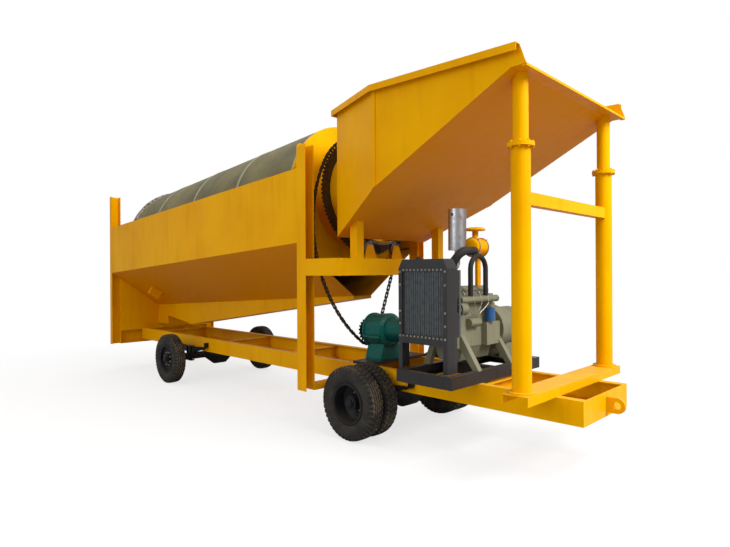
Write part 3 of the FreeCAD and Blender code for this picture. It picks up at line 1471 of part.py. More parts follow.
def cooling_fan():
    body = turned("fan_hub", (
        ("fan_shaft + pin_play", "0"), ("fan_hub", "0"), ("fan_hub", "fan_hub_length"),
        ("fan_shaft + pin_play", "fan_hub_length")), "V_Axis")
    hub = sketch_of(body)
    blade = outline(body, "XZ_Plane", (
        ("fan_hub / 2", "-blade_width / 2"), ("fan_radius", "-blade_width / 2"),
        ("fan_radius", "blade_width / 2"), ("fan_hub / 2", "blade_width / 2")))
    blade.AttachmentOffset = Placement(Vector(0, 0, 0), Rotation(Vector(1, 0, 0), 1))
    bind(blade, "AttachmentOffset.Rotation.Angle", "blade_pitch")
    bind(blade, "AttachmentOffset.Base.z", "-fan_hub_length / 2")
    pad = body.newObject("PartDesign::Pad", "fan_blade")
    pad.Profile = blade
    pad.SideType = "Symmetric"
    bind(pad, "Length", "blade_thick")
    row = body.newObject("PartDesign::PolarPattern", "fan_blades")
    row.Originals = [pad]
    row.Axis = (hub, ["V_Axis"])
    row.Angle = 360
    bind(row, "Occurrences", "blade_count")
    body.Tip = row
    place(body, "engine_x", "fan_y", "fan_height")
    node(body, "cooling_fan")


def radiator():
    # Core with upright fins between two channel sides that stand on the skid, tanks above and below,
    # and a fan cowl.
    end = "radiator_x + radiator_width"
    inner = ("radiator_x + radiator_flange", "radiator_y + core_set")
    pieces = [
        box("radiator_core", ("radiator_x", inner[1], "radiator_bottom"),
            ("radiator_width", "core_depth", "radiator_top - radiator_bottom")),
        prism("radiator_tank", "XZ_Plane", (
            ("radiator_x", "radiator_top"), (end, "radiator_top"), (end + " - tank_taper", "tank_top"),
            ("radiator_x + tank_taper", "tank_top"),
        ), "radiator_y + radiator_depth", "radiator_depth"),
        prism("radiator_sump", "XZ_Plane", (
            ("radiator_x + tank_taper", "tank_bottom"), (end + " - tank_taper", "tank_bottom"),
            (end, "radiator_bottom"), ("radiator_x", "radiator_bottom"),
        ), "radiator_y + radiator_depth", "radiator_depth"),
        rod("radiator_cap",
            ("radiator_x + radiator_width / 3", "radiator_y + radiator_depth / 2", "tank_top"), "Z",
            "cap_height", "cap_radius"),
    ]
    for index, (web, way) in enumerate((("radiator_x", 1), (end, -1))):
        skin, lip = "%s + %d * radiator_wall" % (web, way), "%s + %d * radiator_flange" % (web, way)
        near, far = "radiator_y", "radiator_y + radiator_depth"
        pieces.append(prism("radiator_side_%d" % index, "XY_Plane", (
            (web, near), (lip, near), (lip, near + " + radiator_wall"), (skin, near + " + radiator_wall"),
            (skin, far), (web, far)), DECK, "radiator_top - (%s)" % DECK))
    for level, z in (("top", "radiator_top - radiator_flange / 2"), ("foot", "radiator_bottom")):
        pieces.append(box("radiator_lip_" + level, ("radiator_x", "radiator_y", z),
                          ("radiator_width", "core_set", "radiator_flange / 2")))
    for index in range(int(size("fin_count"))):
        along = "(radiator_width - 2 * radiator_flange) * (%d + 0.5) / fin_count" % index
        x = "%s + %s - fin_width / 2" % (inner[0], along)
        pieces.append(box("fin_%d" % index, (x, inner[1] + " - fin_depth", "radiator_bottom"),
                          ("fin_width", "fin_depth", "radiator_top - radiator_bottom")))
    cowl = box("fan_cowl", ("radiator_x + shroud_inset", "radiator_y + core_set + core_depth",
                            "radiator_bottom + shroud_inset"),
               ("radiator_width - 2 * shroud_inset", "radiator_depth + shroud_depth - core_set - core_depth",
                "radiator_top - radiator_bottom - 2 * shroud_inset"))
    mouth = rod("fan_mouth",
                ("engine_x", "radiator_y + core_set + core_depth + radiator_wall", "fan_height"), "Y",
                "radiator_depth + shroud_depth", "shroud_radius")
    node(fuse("radiator_all", pieces + [cut("fan_cowl_open", cowl, mouth)]), "radiator")


def pipe(name, points, radius):
    # A round bar along straight runs, with an even bend at each corner.
    way = [Vector(*point) for point in points]
    reach = 2.5 * radius
    edges, start = [], way[0]
    for here, after in zip(way[1:-1], way[2:]):
        inward, outward = (here - start).normalize(), (after - here).normalize()
        trim = reach * math.tan(inward.getAngle(outward) / 2)
        bend_in, bend_out = here - inward * trim, here + outward * trim
        middle = here + (outward - inward).normalize() * (math.hypot(reach, trim) - reach)
        edges += [Part.makeLine(start, bend_in), Part.Arc(bend_in, middle, bend_out).toShape()]
        start = bend_out
    edges.append(Part.makeLine(start, way[-1]))
    section = Part.Wire(Part.makeCircle(radius, way[0], way[1] - way[0]))
    item = doc.addObject("Part::Feature", name)
    item.Shape = Part.Wire(edges).makePipeShell([section], True, False)
    return item


def exhaust():
    can = rod("muffler_can", ("muffler_x", "muffler_y", "muffler_bottom"), "Z",
              "muffler_top - muffler_bottom",
              "muffler_radius")
    outlet = rod("muffler_outlet",
                 ("muffler_x", "muffler_y - muffler_radius - outlet_radius", "outlet_height"), "Y",
                 "outlet_depth", "outlet_radius")
    side = size("engine_x") - size("manifold_set")
    x, y = size("muffler_x"), size("muffler_y")
    low = size("manifold_height") + size("manifold_radius") + size("seat_gap")
    high = size("muffler_bottom")
    drop = (high - low) / 3
    down = pipe("exhaust_pipe", (
        (x, y, high + size("outlet_radius")), (x, y, high - drop), (side, y, low + drop), (side, y, low)),
        size("exhaust_radius"))
    node(fuse("muffler_all", [cut("muffler_open", can, outlet), down]), "muffler")


def air_intake():
    # Canister with banded ends on a bracket, its rain cap, the hose down to the engine and the arched
    # intake pipe.
    run = "cleaner_far - cleaner_near"
    seat = "cover_top + seat_gap"
    pieces = [
        rod("cleaner_can", ("cleaner_x", "cleaner_near", "cleaner_height"), "Y", run, "cleaner_radius"),
        box("cleaner_bracket",
            ("cleaner_x - bracket_half - cleaner_band_width", "cleaner_far - 2 * bracket_half", seat),
            ("bracket_half", "2 * bracket_half", "cleaner_height - cleaner_radius / 2 - (%s)" % seat)),
        rod("cleaner_neck", ("cleaner_x", "cap_disc_y", "cleaner_height"), "Z",
            "cap_rise",
            "neck_pipe_radius"),
        rod("cleaner_cap", ("cleaner_x", "cap_disc_y", "cleaner_height + cap_rise"), "Z", "cap_disc_thick",
            "cap_disc_radius"),
        rod("cleaner_crown", ("cleaner_x", "cap_disc_y", "cleaner_height + cap_rise + cap_disc_thick"), "Z",
            "cleaner_band_width",
            "cap_disc_radius / 2"),
    ]
    for index, y in enumerate(("cleaner_near", "cleaner_far - cleaner_band_width")):
        pieces.append(rod("cleaner_band_%d" % index, ("cleaner_x", y, "cleaner_height"), "Y",
                          "cleaner_band_width",
                          "cleaner_radius + cleaner_band"))
    node(fuse("cleaner_all", pieces), "air_cleaner")

    gap, hose = size("seat_gap"), size("hose_radius")
    x = size("cleaner_x") + size("cleaner_radius") - hose
    z = size("cleaner_height") - hose
    lead = size("muffler_y") - 3 * hose
    foot_x, foot_y = size("engine_x") - 2 * size("outlet_radius"), size("hose_foot_y")
    thick = pipe("intake_hose", (
        (x, size("cleaner_near") - gap, z), (x, lead, z), (foot_x, foot_y, z - 5 * hose),
        (foot_x, foot_y, size("cover_top") + gap)), hose)
    x = size("engine_x") + size("manifold_set")
    low = size("manifold_height") + size("manifold_radius") + gap
    near, far = size("arch_near"), size("arch_far")
    half = (far - near) / 2
    shoulder = size("arch_shoulder")
    path = Part.Wire([
        Part.makeLine(Vector(x, near, low), Vector(x, near, shoulder)),
        Part.Arc(Vector(x, near, shoulder), Vector(x, near + half, shoulder + half),
                 Vector(x, far, shoulder)).toShape(),
        Part.makeLine(Vector(x, far, shoulder), Vector(x, far, low)),
    ])
    section = Part.Wire(Part.makeCircle(size("crossover_radius"), Vector(x, near, low), Vector(0, 0, 1)))
    arch = doc.addObject("Part::Feature", "intake_arch")
    arch.Shape = path.makePipeShell([section], True, False)
    node(group("hoses_all", [thick, arch]), "intake_hoses")


doc.recompute()
chassis()
axle("front_axle", "front_axle_x", "front_axle_half", "wheel_offset + twin_hub_reach - spindle_inset")
axle("rear_axle", "rear_axle_x", "rear_axle_half", "wheel_offset + hub_reach - spindle_inset")
springs()
wheels()
front_support()
hopper()
mid_frame()
side_walls()
flume()
rear_frame()
drum()
rollers()
drive_chain()
drive()
skid()
engine()
cooling_fan()
radiator()
exhaust()
air_intake()
doc.recompute()

failed = [item.Name for item in doc.Objects if "Invalid" in item.State or "Error" in item.State]
if failed:
    raise RuntimeError("failed: " + ", ".join(failed))
for item in NODES:
    if item.Shape.isNull() or not item.Shape.isValid():
        raise RuntimeError("bad shape: " + item.Label)
for item in NODES:
    item.Shape.exportStep(os.path.join("parts", item.Label + ".step"))
    bb = item.Shape.BoundBox
    print("%-22s %2d solids  x %8.1f %8.1f  y %8.1f %8.1f  z %8.1f %8.1f" % (
        item.Label, len(item.Shape.Solids), bb.XMin, bb.XMax, bb.YMin, bb.YMax, bb.ZMin, bb.ZMax))
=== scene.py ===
# Finishes and fine pieces of a towed trommel screen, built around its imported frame.
# Metres throughout: X runs forward to the tow eye, Y to the left, Z up from the ground.
import math

import bmesh
import bpy
from mathutils import Matrix, Vector


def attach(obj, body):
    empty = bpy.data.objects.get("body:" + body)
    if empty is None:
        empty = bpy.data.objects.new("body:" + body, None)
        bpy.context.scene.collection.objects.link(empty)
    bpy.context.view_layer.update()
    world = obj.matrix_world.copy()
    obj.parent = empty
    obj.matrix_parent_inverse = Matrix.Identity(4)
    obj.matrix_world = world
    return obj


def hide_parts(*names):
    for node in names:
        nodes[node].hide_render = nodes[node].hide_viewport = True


bl_info = {
    "name": "Trommel screen",
    "version": (1, 0, 0),
    "blender": (4, 5, 0),
    "location": "3D View > Sidebar > Trommel",
    "description": "Dresses the frame of a towed trommel screen with its finishes and fine pieces",
    "category": "Object",
}

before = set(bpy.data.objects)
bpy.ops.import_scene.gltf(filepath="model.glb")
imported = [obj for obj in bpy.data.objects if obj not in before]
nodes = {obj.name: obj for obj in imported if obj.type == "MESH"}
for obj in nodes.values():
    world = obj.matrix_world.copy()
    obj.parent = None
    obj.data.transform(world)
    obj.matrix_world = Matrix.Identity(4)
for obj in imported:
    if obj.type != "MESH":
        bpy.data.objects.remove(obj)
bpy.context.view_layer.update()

PHOTO_WIDTH = 730


# Colours and shader nodes

def linear(code):
    """Turns an sRGB hex colour into the linear values that Blender works with."""
    parts = [int(code[i:i + 2], 16) / 255 for i in (0, 2, 4)]
    return [v / 12.92 if v <= 0.04045 else ((v + 0.055) / 1.055) ** 2.4 for v in parts]


def rgba(colour):
    return (colour[0], colour[1], colour[2], 1)


def per_metre(millimetres):
    """A pattern's scale on Object coordinates, from the real size of one of its features."""
    return 1000 / millimetres


def add(tree, kind, inputs=None, **settings):
    """Adds one shader node; inputs holds values, or the outputs that feed them."""
    made = tree.nodes.new("ShaderNode" + kind)
    for key, value in settings.items():
        setattr(made, key, value)
    for key, value in (inputs or {}).items():
        if isinstance(value, bpy.types.NodeSocket):
            tree.links.new(value, made.inputs[key])
        else:
            made.inputs[key].default_value = value
    return made


def new_material(name):
    material = bpy.data.materials.new(name)
    material.use_nodes = True
    material.node_tree.nodes.clear()
    return material, material.node_tree


def finish_material(tree, shader):
    add(tree, "OutputMaterial", {"Surface": shader.outputs["BSDF"]})


def mixed(tree, factor, first, second):
    """A colour between two others; each is a colour or an output."""
    blend = add(tree, "Mix", data_type="RGBA")
    for socket, value in ((blend.inputs[0], factor), (blend.inputs[6], first), (blend.inputs[7], second)):
        if isinstance(value, bpy.types.NodeSocket):
            tree.links.new(value, socket)
        else:
            socket.default_value = value
    return blend.outputs[2]


def spread(tree, value, low, high, to_low=0.0, to_high=1.0):
    """Stretches a value's range, held at its ends."""
    return add(tree, "MapRange", {"Value": value, "From Min": low, "From Max": high,
                                  "To Min": to_low, "To Max": to_high}).outputs["Result"]


def facing_up(tree):
    """From 0 on walls and undersides to 1 on level tops, where dust settles."""
    turned = add(tree, "SeparateXYZ", {"Vector": add(tree, "NewGeometry").outputs["Normal"]})
    return spread(tree, turned.outputs["Z"], 0.3, 0.9)


def on_walls(tree, value):
    """Keeps a value on upright walls and fades it out towards level faces."""
    turned = add(tree, "SeparateXYZ", {"Vector": add(tree, "NewGeometry").outputs["Normal"]})
    level = add(tree, "Math", {0: turned.outputs["Z"]}, operation="ABSOLUTE")
    upright = spread(tree, level.outputs[0], 0.15, 0.6, 1.0, 0.0)
    return add(tree, "Math", {0: value, 1: upright}, operation="MULTIPLY").outputs[0]


# Finishes

def sprayed_enamel(name, coat, shade, dust, grime, gloss=0.38, dirt=0.3, sheen=0.25, sheen_tint=(1, 1, 1)):
    """Alkyd enamel sprayed on plate steel: an even coat with a faint orange peel that breaks up its gloss,
    a slightly deeper tone in broad patches, painted shade in that same tone on the faces that look down,
    thin runs of dirt down its walls and dust on its tops. The shade colour serves both the patches and the painted
    shade."""
    material, tree = new_material(name)
    place = add(tree, "TexCoord").outputs["Object"]
    patches = add(tree, "TexNoise", {"Vector": place, "Scale": per_metre(700), "Detail": 3.0})
    normal = add(tree, "NewGeometry").outputs["Normal"]
    height = add(tree, "SeparateXYZ", {"Vector": normal}).outputs["Z"]
    # Painted shade: faces that look down take the shade colour.
    painted_underside_shade = spread(tree, height, -0.35, -0.05, 1.0, 0.0)
    patches_and_painted_shade = add(tree, "Math", {0: spread(tree, patches.outputs["Fac"], 0.35, 0.75, 0.0, 0.5), 1: painted_underside_shade},
                  operation="MAXIMUM")
    coat_and_painted_shade = mixed(tree, patches_and_painted_shade.outputs[0], rgba(coat), rgba(shade))
    runs_at = add(tree, "Mapping", {"Vector": place, "Scale": (1, 1, 0.12)})
    runs = add(tree, "TexNoise", {"Vector": runs_at.outputs["Vector"], "Scale": per_metre(90), "Detail": 5.0})
    run_down = on_walls(tree, spread(tree, runs.outputs["Fac"], 0.52, 0.8, 0.0, dirt))
    dirt_runs_and_painted_shade = mixed(tree, run_down, coat_and_painted_shade, rgba(grime))
    settled = add(tree, "TexNoise", {"Vector": place, "Scale": per_metre(160), "Detail": 6.0})
    film = add(tree, "Math", {0: facing_up(tree), 1: spread(tree, settled.outputs["Fac"], 0.3, 0.75, 0.05, 0.45)},
               operation="MULTIPLY")
    surface = mixed(tree, film.outputs[0], dirt_runs_and_painted_shade, rgba(dust))
    rough = spread(tree, runs.outputs["Fac"], 0.3, 0.8, gloss - 0.06, gloss + 0.2)
    peel = add(tree, "TexNoise", {"Vector": place, "Scale": per_metre(9), "Detail": 2.0})
    bump = add(tree, "Bump", {"Height": peel.outputs["Fac"], "Strength": 0.06, "Distance": 0.001})
    finish_material(tree, add(tree, "BsdfPrincipled", {
        "Base Color": surface, "Roughness": rough, "Normal": bump.outputs["Normal"], "IOR": 1.5,
        "Specular IOR Level": sheen, "Specular Tint": rgba(sheen_tint)}))
    return material


def worn_steel(name, bright, dull, rust, gloss=0.35, wear_mm=60):
    """Bare rolled steel that rolls or rubs: a metallic grey with brown rust blooming through it in spots."""
    material, tree = new_material(name)
    place = add(tree, "TexCoord").outputs["Object"]
    bloom = add(tree, "TexNoise", {"Vector": place, "Scale": per_metre(wear_mm), "Detail": 6.0})
    scratch = add(tree, "TexNoise", {"Vector": place, "Scale": per_metre(14), "Detail": 4.0})
    steel = mixed(tree, scratch.outputs["Fac"], rgba(bright), rgba(dull))
    rusted = spread(tree, bloom.outputs["Fac"], 0.48, 0.62)
    metal = mixed(tree, rusted, steel, rgba(rust))
    bump = add(tree, "Bump", {"Height": scratch.outputs["Fac"], "Strength": 0.15, "Distance": 0.001})
    finish_material(tree, add(tree, "BsdfPrincipled", {
        "Base Color": metal, "Metallic": spread(tree, rusted, 0.0, 1.0, 0.85, 0.15),
        "Roughness": spread(tree, rusted, 0.0, 1.0, gloss, 0.8), "Normal": bump.outputs["Normal"]}))
    return material


def screen_plate(name, plate, light, hole, hole_mm, pitch_mm, axis_height, lean):
    """Punched screen plate, galvanised and weathered to olive: rows of small round holes all over, drawn at
    about twice their real pitch so that they show and coloured as painted shade of the drum's dark inside, dried
    slurry between them, and unpunched hoops whose pale colour is a painted highlight."""
    material, tree = new_material(name)
    place = add(tree, "TexCoord").outputs["Object"]
    turned = add(tree, "Mapping", {"Vector": place, "Location": (0, 0, -axis_height)}, vector_type="POINT")
    level = add(tree, "VectorRotate", {"Vector": turned.outputs["Vector"], "Axis": (0, 1, 0), "Angle": lean},
                rotation_type="AXIS_ANGLE")
    parts = add(tree, "SeparateXYZ", {"Vector": level.outputs["Vector"]})
    around = add(tree, "Math", {0: parts.outputs["Y"], 1: parts.outputs["Z"]}, operation="ARCTAN2")
    arc = add(tree, "Math", {0: around.outputs[0], 1: 0.92}, operation="MULTIPLY")
    grid = add(tree, "CombineXYZ", {"X": parts.outputs["X"], "Y": arc.outputs[0], "Z": 0.0})
    cells = add(tree, "TexVoronoi", {"Vector": grid.outputs["Vector"], "Scale": per_metre(pitch_mm),
                                     "Randomness": 0.0}, voronoi_dimensions="2D")
    edge = hole_mm / pitch_mm / 2
    open_ = spread(tree, cells.outputs["Distance"], edge, edge * 1.25, 1.0, 0.0)
    broad = add(tree, "TexNoise", {"Vector": place, "Scale": per_metre(420), "Detail": 5.0})
    tone = mixed(tree, spread(tree, broad.outputs["Fac"], 0.35, 0.7), rgba(plate), rgba(light))
    # The holes take the hole colour: painted shade of the drum's inside seen through them.
    tone_with_painted_shade_holes = mixed(tree, open_, tone, rgba(hole))
    from_front = add(tree, "Math", {0: DRUM_FRONT, 1: parts.outputs["X"]}, operation="SUBTRACT")
    from_hoop = add(tree, "Math", {0: from_front.outputs[0], 1: DRUM_COURSE / 2}, operation="PINGPONG")
    hoop = add(tree, "Math", {0: spread(tree, from_hoop.outputs[0], HOOP_HALF, HOOP_HALF * 1.1, 1.0, 0.0),
                              1: spread(tree, parts.outputs["X"], LAST_HOOP, LAST_HOOP + 0.002, 1.0, 0.0)},
               operation="MAXIMUM")
    # The hoops carry no holes and take a pale colour, a painted highlight along the drum's bands.
    surface = mixed(tree, hoop.outputs[0], tone_with_painted_shade_holes, rgba(linear("979071")))
    bump = add(tree, "Bump", {"Height": open_, "Strength": 0.5, "Distance": 0.002}, invert=True)
    finish_material(tree, add(tree, "BsdfPrincipled", {
        "Base Color": surface, "Roughness": 0.55, "Metallic": 0.15, "Normal": bump.outputs["Normal"]}))
    return material


def dusty_rubber(name, black, dust, level=0.5, tread_level=0.0):
    """Vulcanised rubber: deep matt black, with tan road dust held in its fine surface grain, and more of it
    on faces that look away from the wheel's axle, where the tread meets the road."""
    material, tree = new_material(name)
    place = add(tree, "TexCoord").outputs["Object"]
    cloud = add(tree, "TexNoise", {"Vector": place, "Scale": per_metre(110), "Detail": 6.0})
    grain = add(tree, "TexNoise", {"Vector": place, "Scale": per_metre(6), "Detail": 3.0})
    film = spread(tree, cloud.outputs["Fac"], 0.4, 0.75, 0.03, level)
    if tread_level:
        normal = add(tree, "NewGeometry").outputs["Normal"]
        across = add(tree, "SeparateXYZ", {"Vector": normal}).outputs["Y"]
        sideways = add(tree, "Math", {0: across}, operation="ABSOLUTE")
        caked = add(tree, "TexNoise", {"Vector": place, "Scale": per_metre(240), "Detail": 3.0})
        patch = spread(tree, caked.outputs["Fac"], 0.42, 0.6, 0.12, tread_level)
        tread = add(tree, "Math", {0: spread(tree, sideways.outputs[0], 0.25, 0.6, 1.0, 0.0), 1: patch},
                    operation="MULTIPLY")
        film = add(tree, "Math", {0: film, 1: tread.outputs[0]}, operation="MAXIMUM").outputs[0]
    surface = mixed(tree, film, rgba(black), rgba(dust))
    bump = add(tree, "Bump", {"Height": grain.outputs["Fac"], "Strength": 0.25, "Distance": 0.001})
    finish_material(tree, add(tree, "BsdfPrincipled", {
        "Base Color": surface, "Roughness": 0.82, "Normal": bump.outputs["Normal"], "IOR": 1.5}))
    return material


def plated_steel(name, bright, haze, gloss=0.16):
    """Chrome or zinc plating: mirror-like metal with a faint haze of heat and fingerprints."""
    material, tree = new_material(name)
    place = add(tree, "TexCoord").outputs["Object"]
    cloud = add(tree, "TexNoise", {"Vector": place, "Scale": per_metre(45), "Detail": 4.0})
    metal = mixed(tree, spread(tree, cloud.outputs["Fac"], 0.4, 0.8, 0.0, 0.7), rgba(bright), rgba(haze))
    finish_material(tree, add(tree, "BsdfPrincipled", {
        "Base Color": metal, "Metallic": 1.0,
        "Roughness": spread(tree, cloud.outputs["Fac"], 0.3, 0.8, gloss, gloss + 0.22)}))
    return material


class TrommelColours(bpy.types.PropertyGroup):
    """Paint, dirt and painted shade colours that a user may change."""

    yellow: bpy.props.FloatVectorProperty(
        name="Yellow", description="Enamel of the frame, hopper and trough", subtype="COLOR",
        default=linear("f3b000"))
    # Deeper tone of the yellow enamel in patches, and the painted shade on its undersides.
    yellow_patch_tone_and_painted_shade: bpy.props.FloatVectorProperty(
        name="Yellow shade", description="Browner tone of the yellow enamel, in patches and underneath", subtype="COLOR",
        default=linear("dc8800"))
    yellow_grime: bpy.props.FloatVectorProperty(
        name="Yellow grime", description="Thin runs of dirt down the yellow walls", subtype="COLOR",
        default=linear("9a6206"))
    road_dust: bpy.props.FloatVectorProperty(
        name="Road dust", description="Dust on tops and tyres", subtype="COLOR", default=linear("a5884e"))
    floor: bpy.props.FloatVectorProperty(
        name="Floor", description="Studio floor", subtype="COLOR", default=linear("f4f4f2"))


class TrommelSizes(bpy.types.PropertyGroup):
    """Sizes of the fine pieces that a user may change."""

    hole: bpy.props.FloatProperty(
        name="Screen hole", description="Width of the drum's screen holes as drawn, in millimetres", default=14.0)
    hole_pitch: bpy.props.FloatProperty(
        name="Hole pitch", description="Distance between screen holes as drawn, in millimetres", default=26.0)
    tread_blocks: bpy.props.IntProperty(
        name="Tread blocks", description="Blocks in one row round a tyre", default=44)
    radiator_tubes: bpy.props.IntProperty(
        name="Radiator tubes", description="Flat tubes across the radiator's core", default=44)
    flange_bolts: bpy.props.IntProperty(
        name="Flange bolts", description="Bolts round one flange of a front post", default=8)


class TROMMEL_OT_finishes(bpy.types.Operator):
    """Gives every node of the frame its finish"""

    bl_idname = "trommel.finishes"
    bl_label = "Paint the frame"

    def execute(self, context):
        c = context.scene.trommel_colours
        s = context.scene.trommel_sizes
        yellow = sprayed_enamel("Yellow alkyd enamel", c.yellow, c.yellow_patch_tone_and_painted_shade, c.road_dust, c.yellow_grime,
                                dirt=0.16, sheen=0.16, sheen_tint=c.yellow)
        finishes = {
            "yellow": yellow,
            # The third colour is the painted shade in the screen's holes.
            "screen": screen_plate("Punched galvanised screen plate", linear("6a6342"), linear("938750"),
                                   linear("23261f"), s.hole, s.hole_pitch, 2.5066, math.radians(4.63)),
            "steel": worn_steel("Worn rolled steel", linear("9a9890"), linear("5d5a52"), linear("5a3b24")),
            "chain": worn_steel("Oiled chain steel", linear("6a5c48"), linear("33291f"), linear("3b2716")),
            "rubber": dusty_rubber("Vulcanised tyre rubber", linear("161515"), linear("87795f"), 0.16, 0.6),
            "rim": sprayed_enamel("Black rim enamel", linear("17181c"), linear("242428"), linear("5e523e"),
                                  linear("0e0e0f"), 0.5),
            "black": sprayed_enamel("Black chassis enamel", linear("151518"), linear("222126"), linear("5e523e"),
                                    linear("0c0c0c")),
            "skid": sprayed_enamel("Grey black skid enamel", linear("2c2b2c"), linear("383634"), linear("5e523e"),
                                   linear("191715")),
            "green": sprayed_enamel("Teal machine enamel", linear("0d655c"), linear("0a4b46"), linear("56604c"),
                                    linear("07302c"), 0.3),
            "engine": sprayed_enamel("Olive grey engine enamel", linear("85846c"), linear("6c6b57"),
                                     linear("5c5442"), linear("3b372a"), 0.42),
            "radiator": sprayed_enamel("Black radiator enamel", linear("38393a"), linear("2a2b2d"),
                                       linear("66604f"), linear("1a1a1a"), 0.5),
            "chrome": plated_steel("Bright chrome plate", linear("c9cbd0"), linear("a8a9ac"), 0.24),
            "alloy": plated_steel("Bare aluminium", linear("858b8e"), linear("5f6466"), 0.45),
            "filter": sprayed_enamel("Blue filter enamel", linear("2a5f9e"), linear("234f86"), linear("7a8087"),
                                     linear("173a66"), 0.3),
            "hose": dusty_rubber("Reinforced hose rubber", linear("141416"), linear("5a5348"), 0.2),
            "nuts": plated_steel("Zinc plated fasteners", linear("b9b4a4"), linear("8d8672"), 0.3),
        }
        kinds = {
            # node's name, key of its finish
            "drum_screen": "screen", "front_riding_ring": "steel", "rear_riding_ring": "steel",
            "chain_ring": "chain", "drive_chain": "chain", "drive_sprocket": "chain",
            "front_axle": "black", "rear_axle": "black", "leaf_springs": "black",
            "gearbox": "green", "gearbox_base": "skid", "engine_skid": "skid", "engine": "engine",
            "radiator": "radiator", "cooling_fan": "radiator", "muffler": "chrome", "intake_hoses": "hose",
            "drum_lifters": "screen",
        }
        for name, piece in nodes.items():
            kind = kinds.get(name, "yellow")
            if "tyre" in name:
                kind = "rubber"
            elif "_rim" in name and "hopper" not in name:
                kind = "rim"
            elif name.endswith("_roller_left") or name.endswith("_roller_right"):
                kind = "steel"
            piece.data.materials.clear()
            piece.data.materials.append(finishes[kind])
        return {"FINISHED"}


# Building pieces

LEAN = math.radians(4.63)
AXIS_HEIGHT = 2.5066
# Stations along the drum: its front edge, the spacing of its seams, and the inner edge of its last hoop.
DRUM_FRONT, DRUM_COURSE, LAST_HOOP, HOOP_HALF = 1.001, 1.180, -3.549, 0.025


def leaning(u, y, w):
    """A point by its distance along the drum's axis, sideways and up from it."""
    return Vector((u * math.cos(LEAN) - w * math.sin(LEAN), y, AXIS_HEIGHT + u * math.sin(LEAN) + w * math.cos(LEAN)))


def finished(name, form, finish, body, stands_for=()):
    """Turns a bmesh into a piece at the origin that rides on a body and wears one finish."""
    bmesh.ops.remove_doubles(form, verts=form.verts, dist=1e-6)
    bmesh.ops.recalc_face_normals(form, faces=form.faces)
    mesh = bpy.data.meshes.new(name)
    form.to_mesh(mesh)
    form.free()
    mesh.materials.append(bpy.data.materials[finish])
    piece = bpy.data.objects.new(name, mesh)
    bpy.context.scene.collection.objects.link(piece)
    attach(piece, body)
    if stands_for:
        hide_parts(*stands_for)
    return piece


def revolve(form, rows, centre, sides, axis="Y"):
    """Spins closed rows of (radius, distance along the axis) about an axis through centre."""
    way = {"X": Vector((1, 0, 0)), "Y": Vector((0, 1, 0)), "Z": Vector((0, 0, 1))}[axis]
    out = Vector((0, 0, 1)) if axis != "Z" else Vector((1, 0, 0))
    verts = [form.verts.new(centre + out * radius + way * along) for radius, along in rows]
    edges = [form.edges.new((verts[i], verts[(i + 1) % len(verts)])) for i in range(len(verts))]
    bmesh.ops.spin(form, geom=verts + edges, cent=centre, axis=way, angle=math.tau, steps=sides, use_merge=True,
                   use_duplicate=False)


def hexagon(form, centre, axis, across, height, washer=0.0):
    """A hexagon head with a chamfered top on a round washer; centre is on the face it sits on."""
    axis = Vector(axis).normalized()
    turn = Vector((0, 0, 1)).rotation_difference(axis).to_matrix().to_4x4()
    radius = across / math.sqrt(3)
    seat = 0.0
    if washer:
        seat = height * 0.18
        bmesh.ops.create_cone(form, cap_ends=True, segments=20, radius1=washer, radius2=washer, depth=seat,
                              matrix=Matrix.Translation(centre + axis * seat / 2) @ turn)
    body = height * 0.8
    bmesh.ops.create_cone(form, cap_ends=True, segments=6, radius1=radius, radius2=radius, depth=body,
                          matrix=Matrix.Translation(centre + axis * (seat + body / 2)) @ turn)
    top = height - body
    bmesh.ops.create_cone(form, cap_ends=True, segments=6, radius1=radius, radius2=radius * 0.82, depth=top,
                          matrix=Matrix.Translation(centre + axis * (seat + body + top / 2)) @ turn)


def wedge(form, section, a0, a1, skew, centre):
    """One tread block: a section of (radius, along) swept between two angles about Y, its far side skewed."""
    ends = []
    for radius, along in section:
        row = []
        for angle in (a0, a1):
            turn = angle + skew * abs(along)
            row.append(form.verts.new(centre + Vector((radius * math.cos(turn), along, radius * math.sin(turn)))))
        ends.append(row)
    count = len(ends)
    for i in range(count):
        a, b = ends[i], ends[(i + 1) % count]
        form.faces.new((a[0], b[0], b[1], a[1]))
    form.faces.new([row[0] for row in ends])
    form.faces.new([row[1] for row in reversed(ends)])


AXLE_HEIGHT = 0.3755
FRONT_AXLE_X, REAR_AXLE_X = 1.893, -2.2
OUTER_TYRE, TWIN_SPACING = 0.839, 0.215


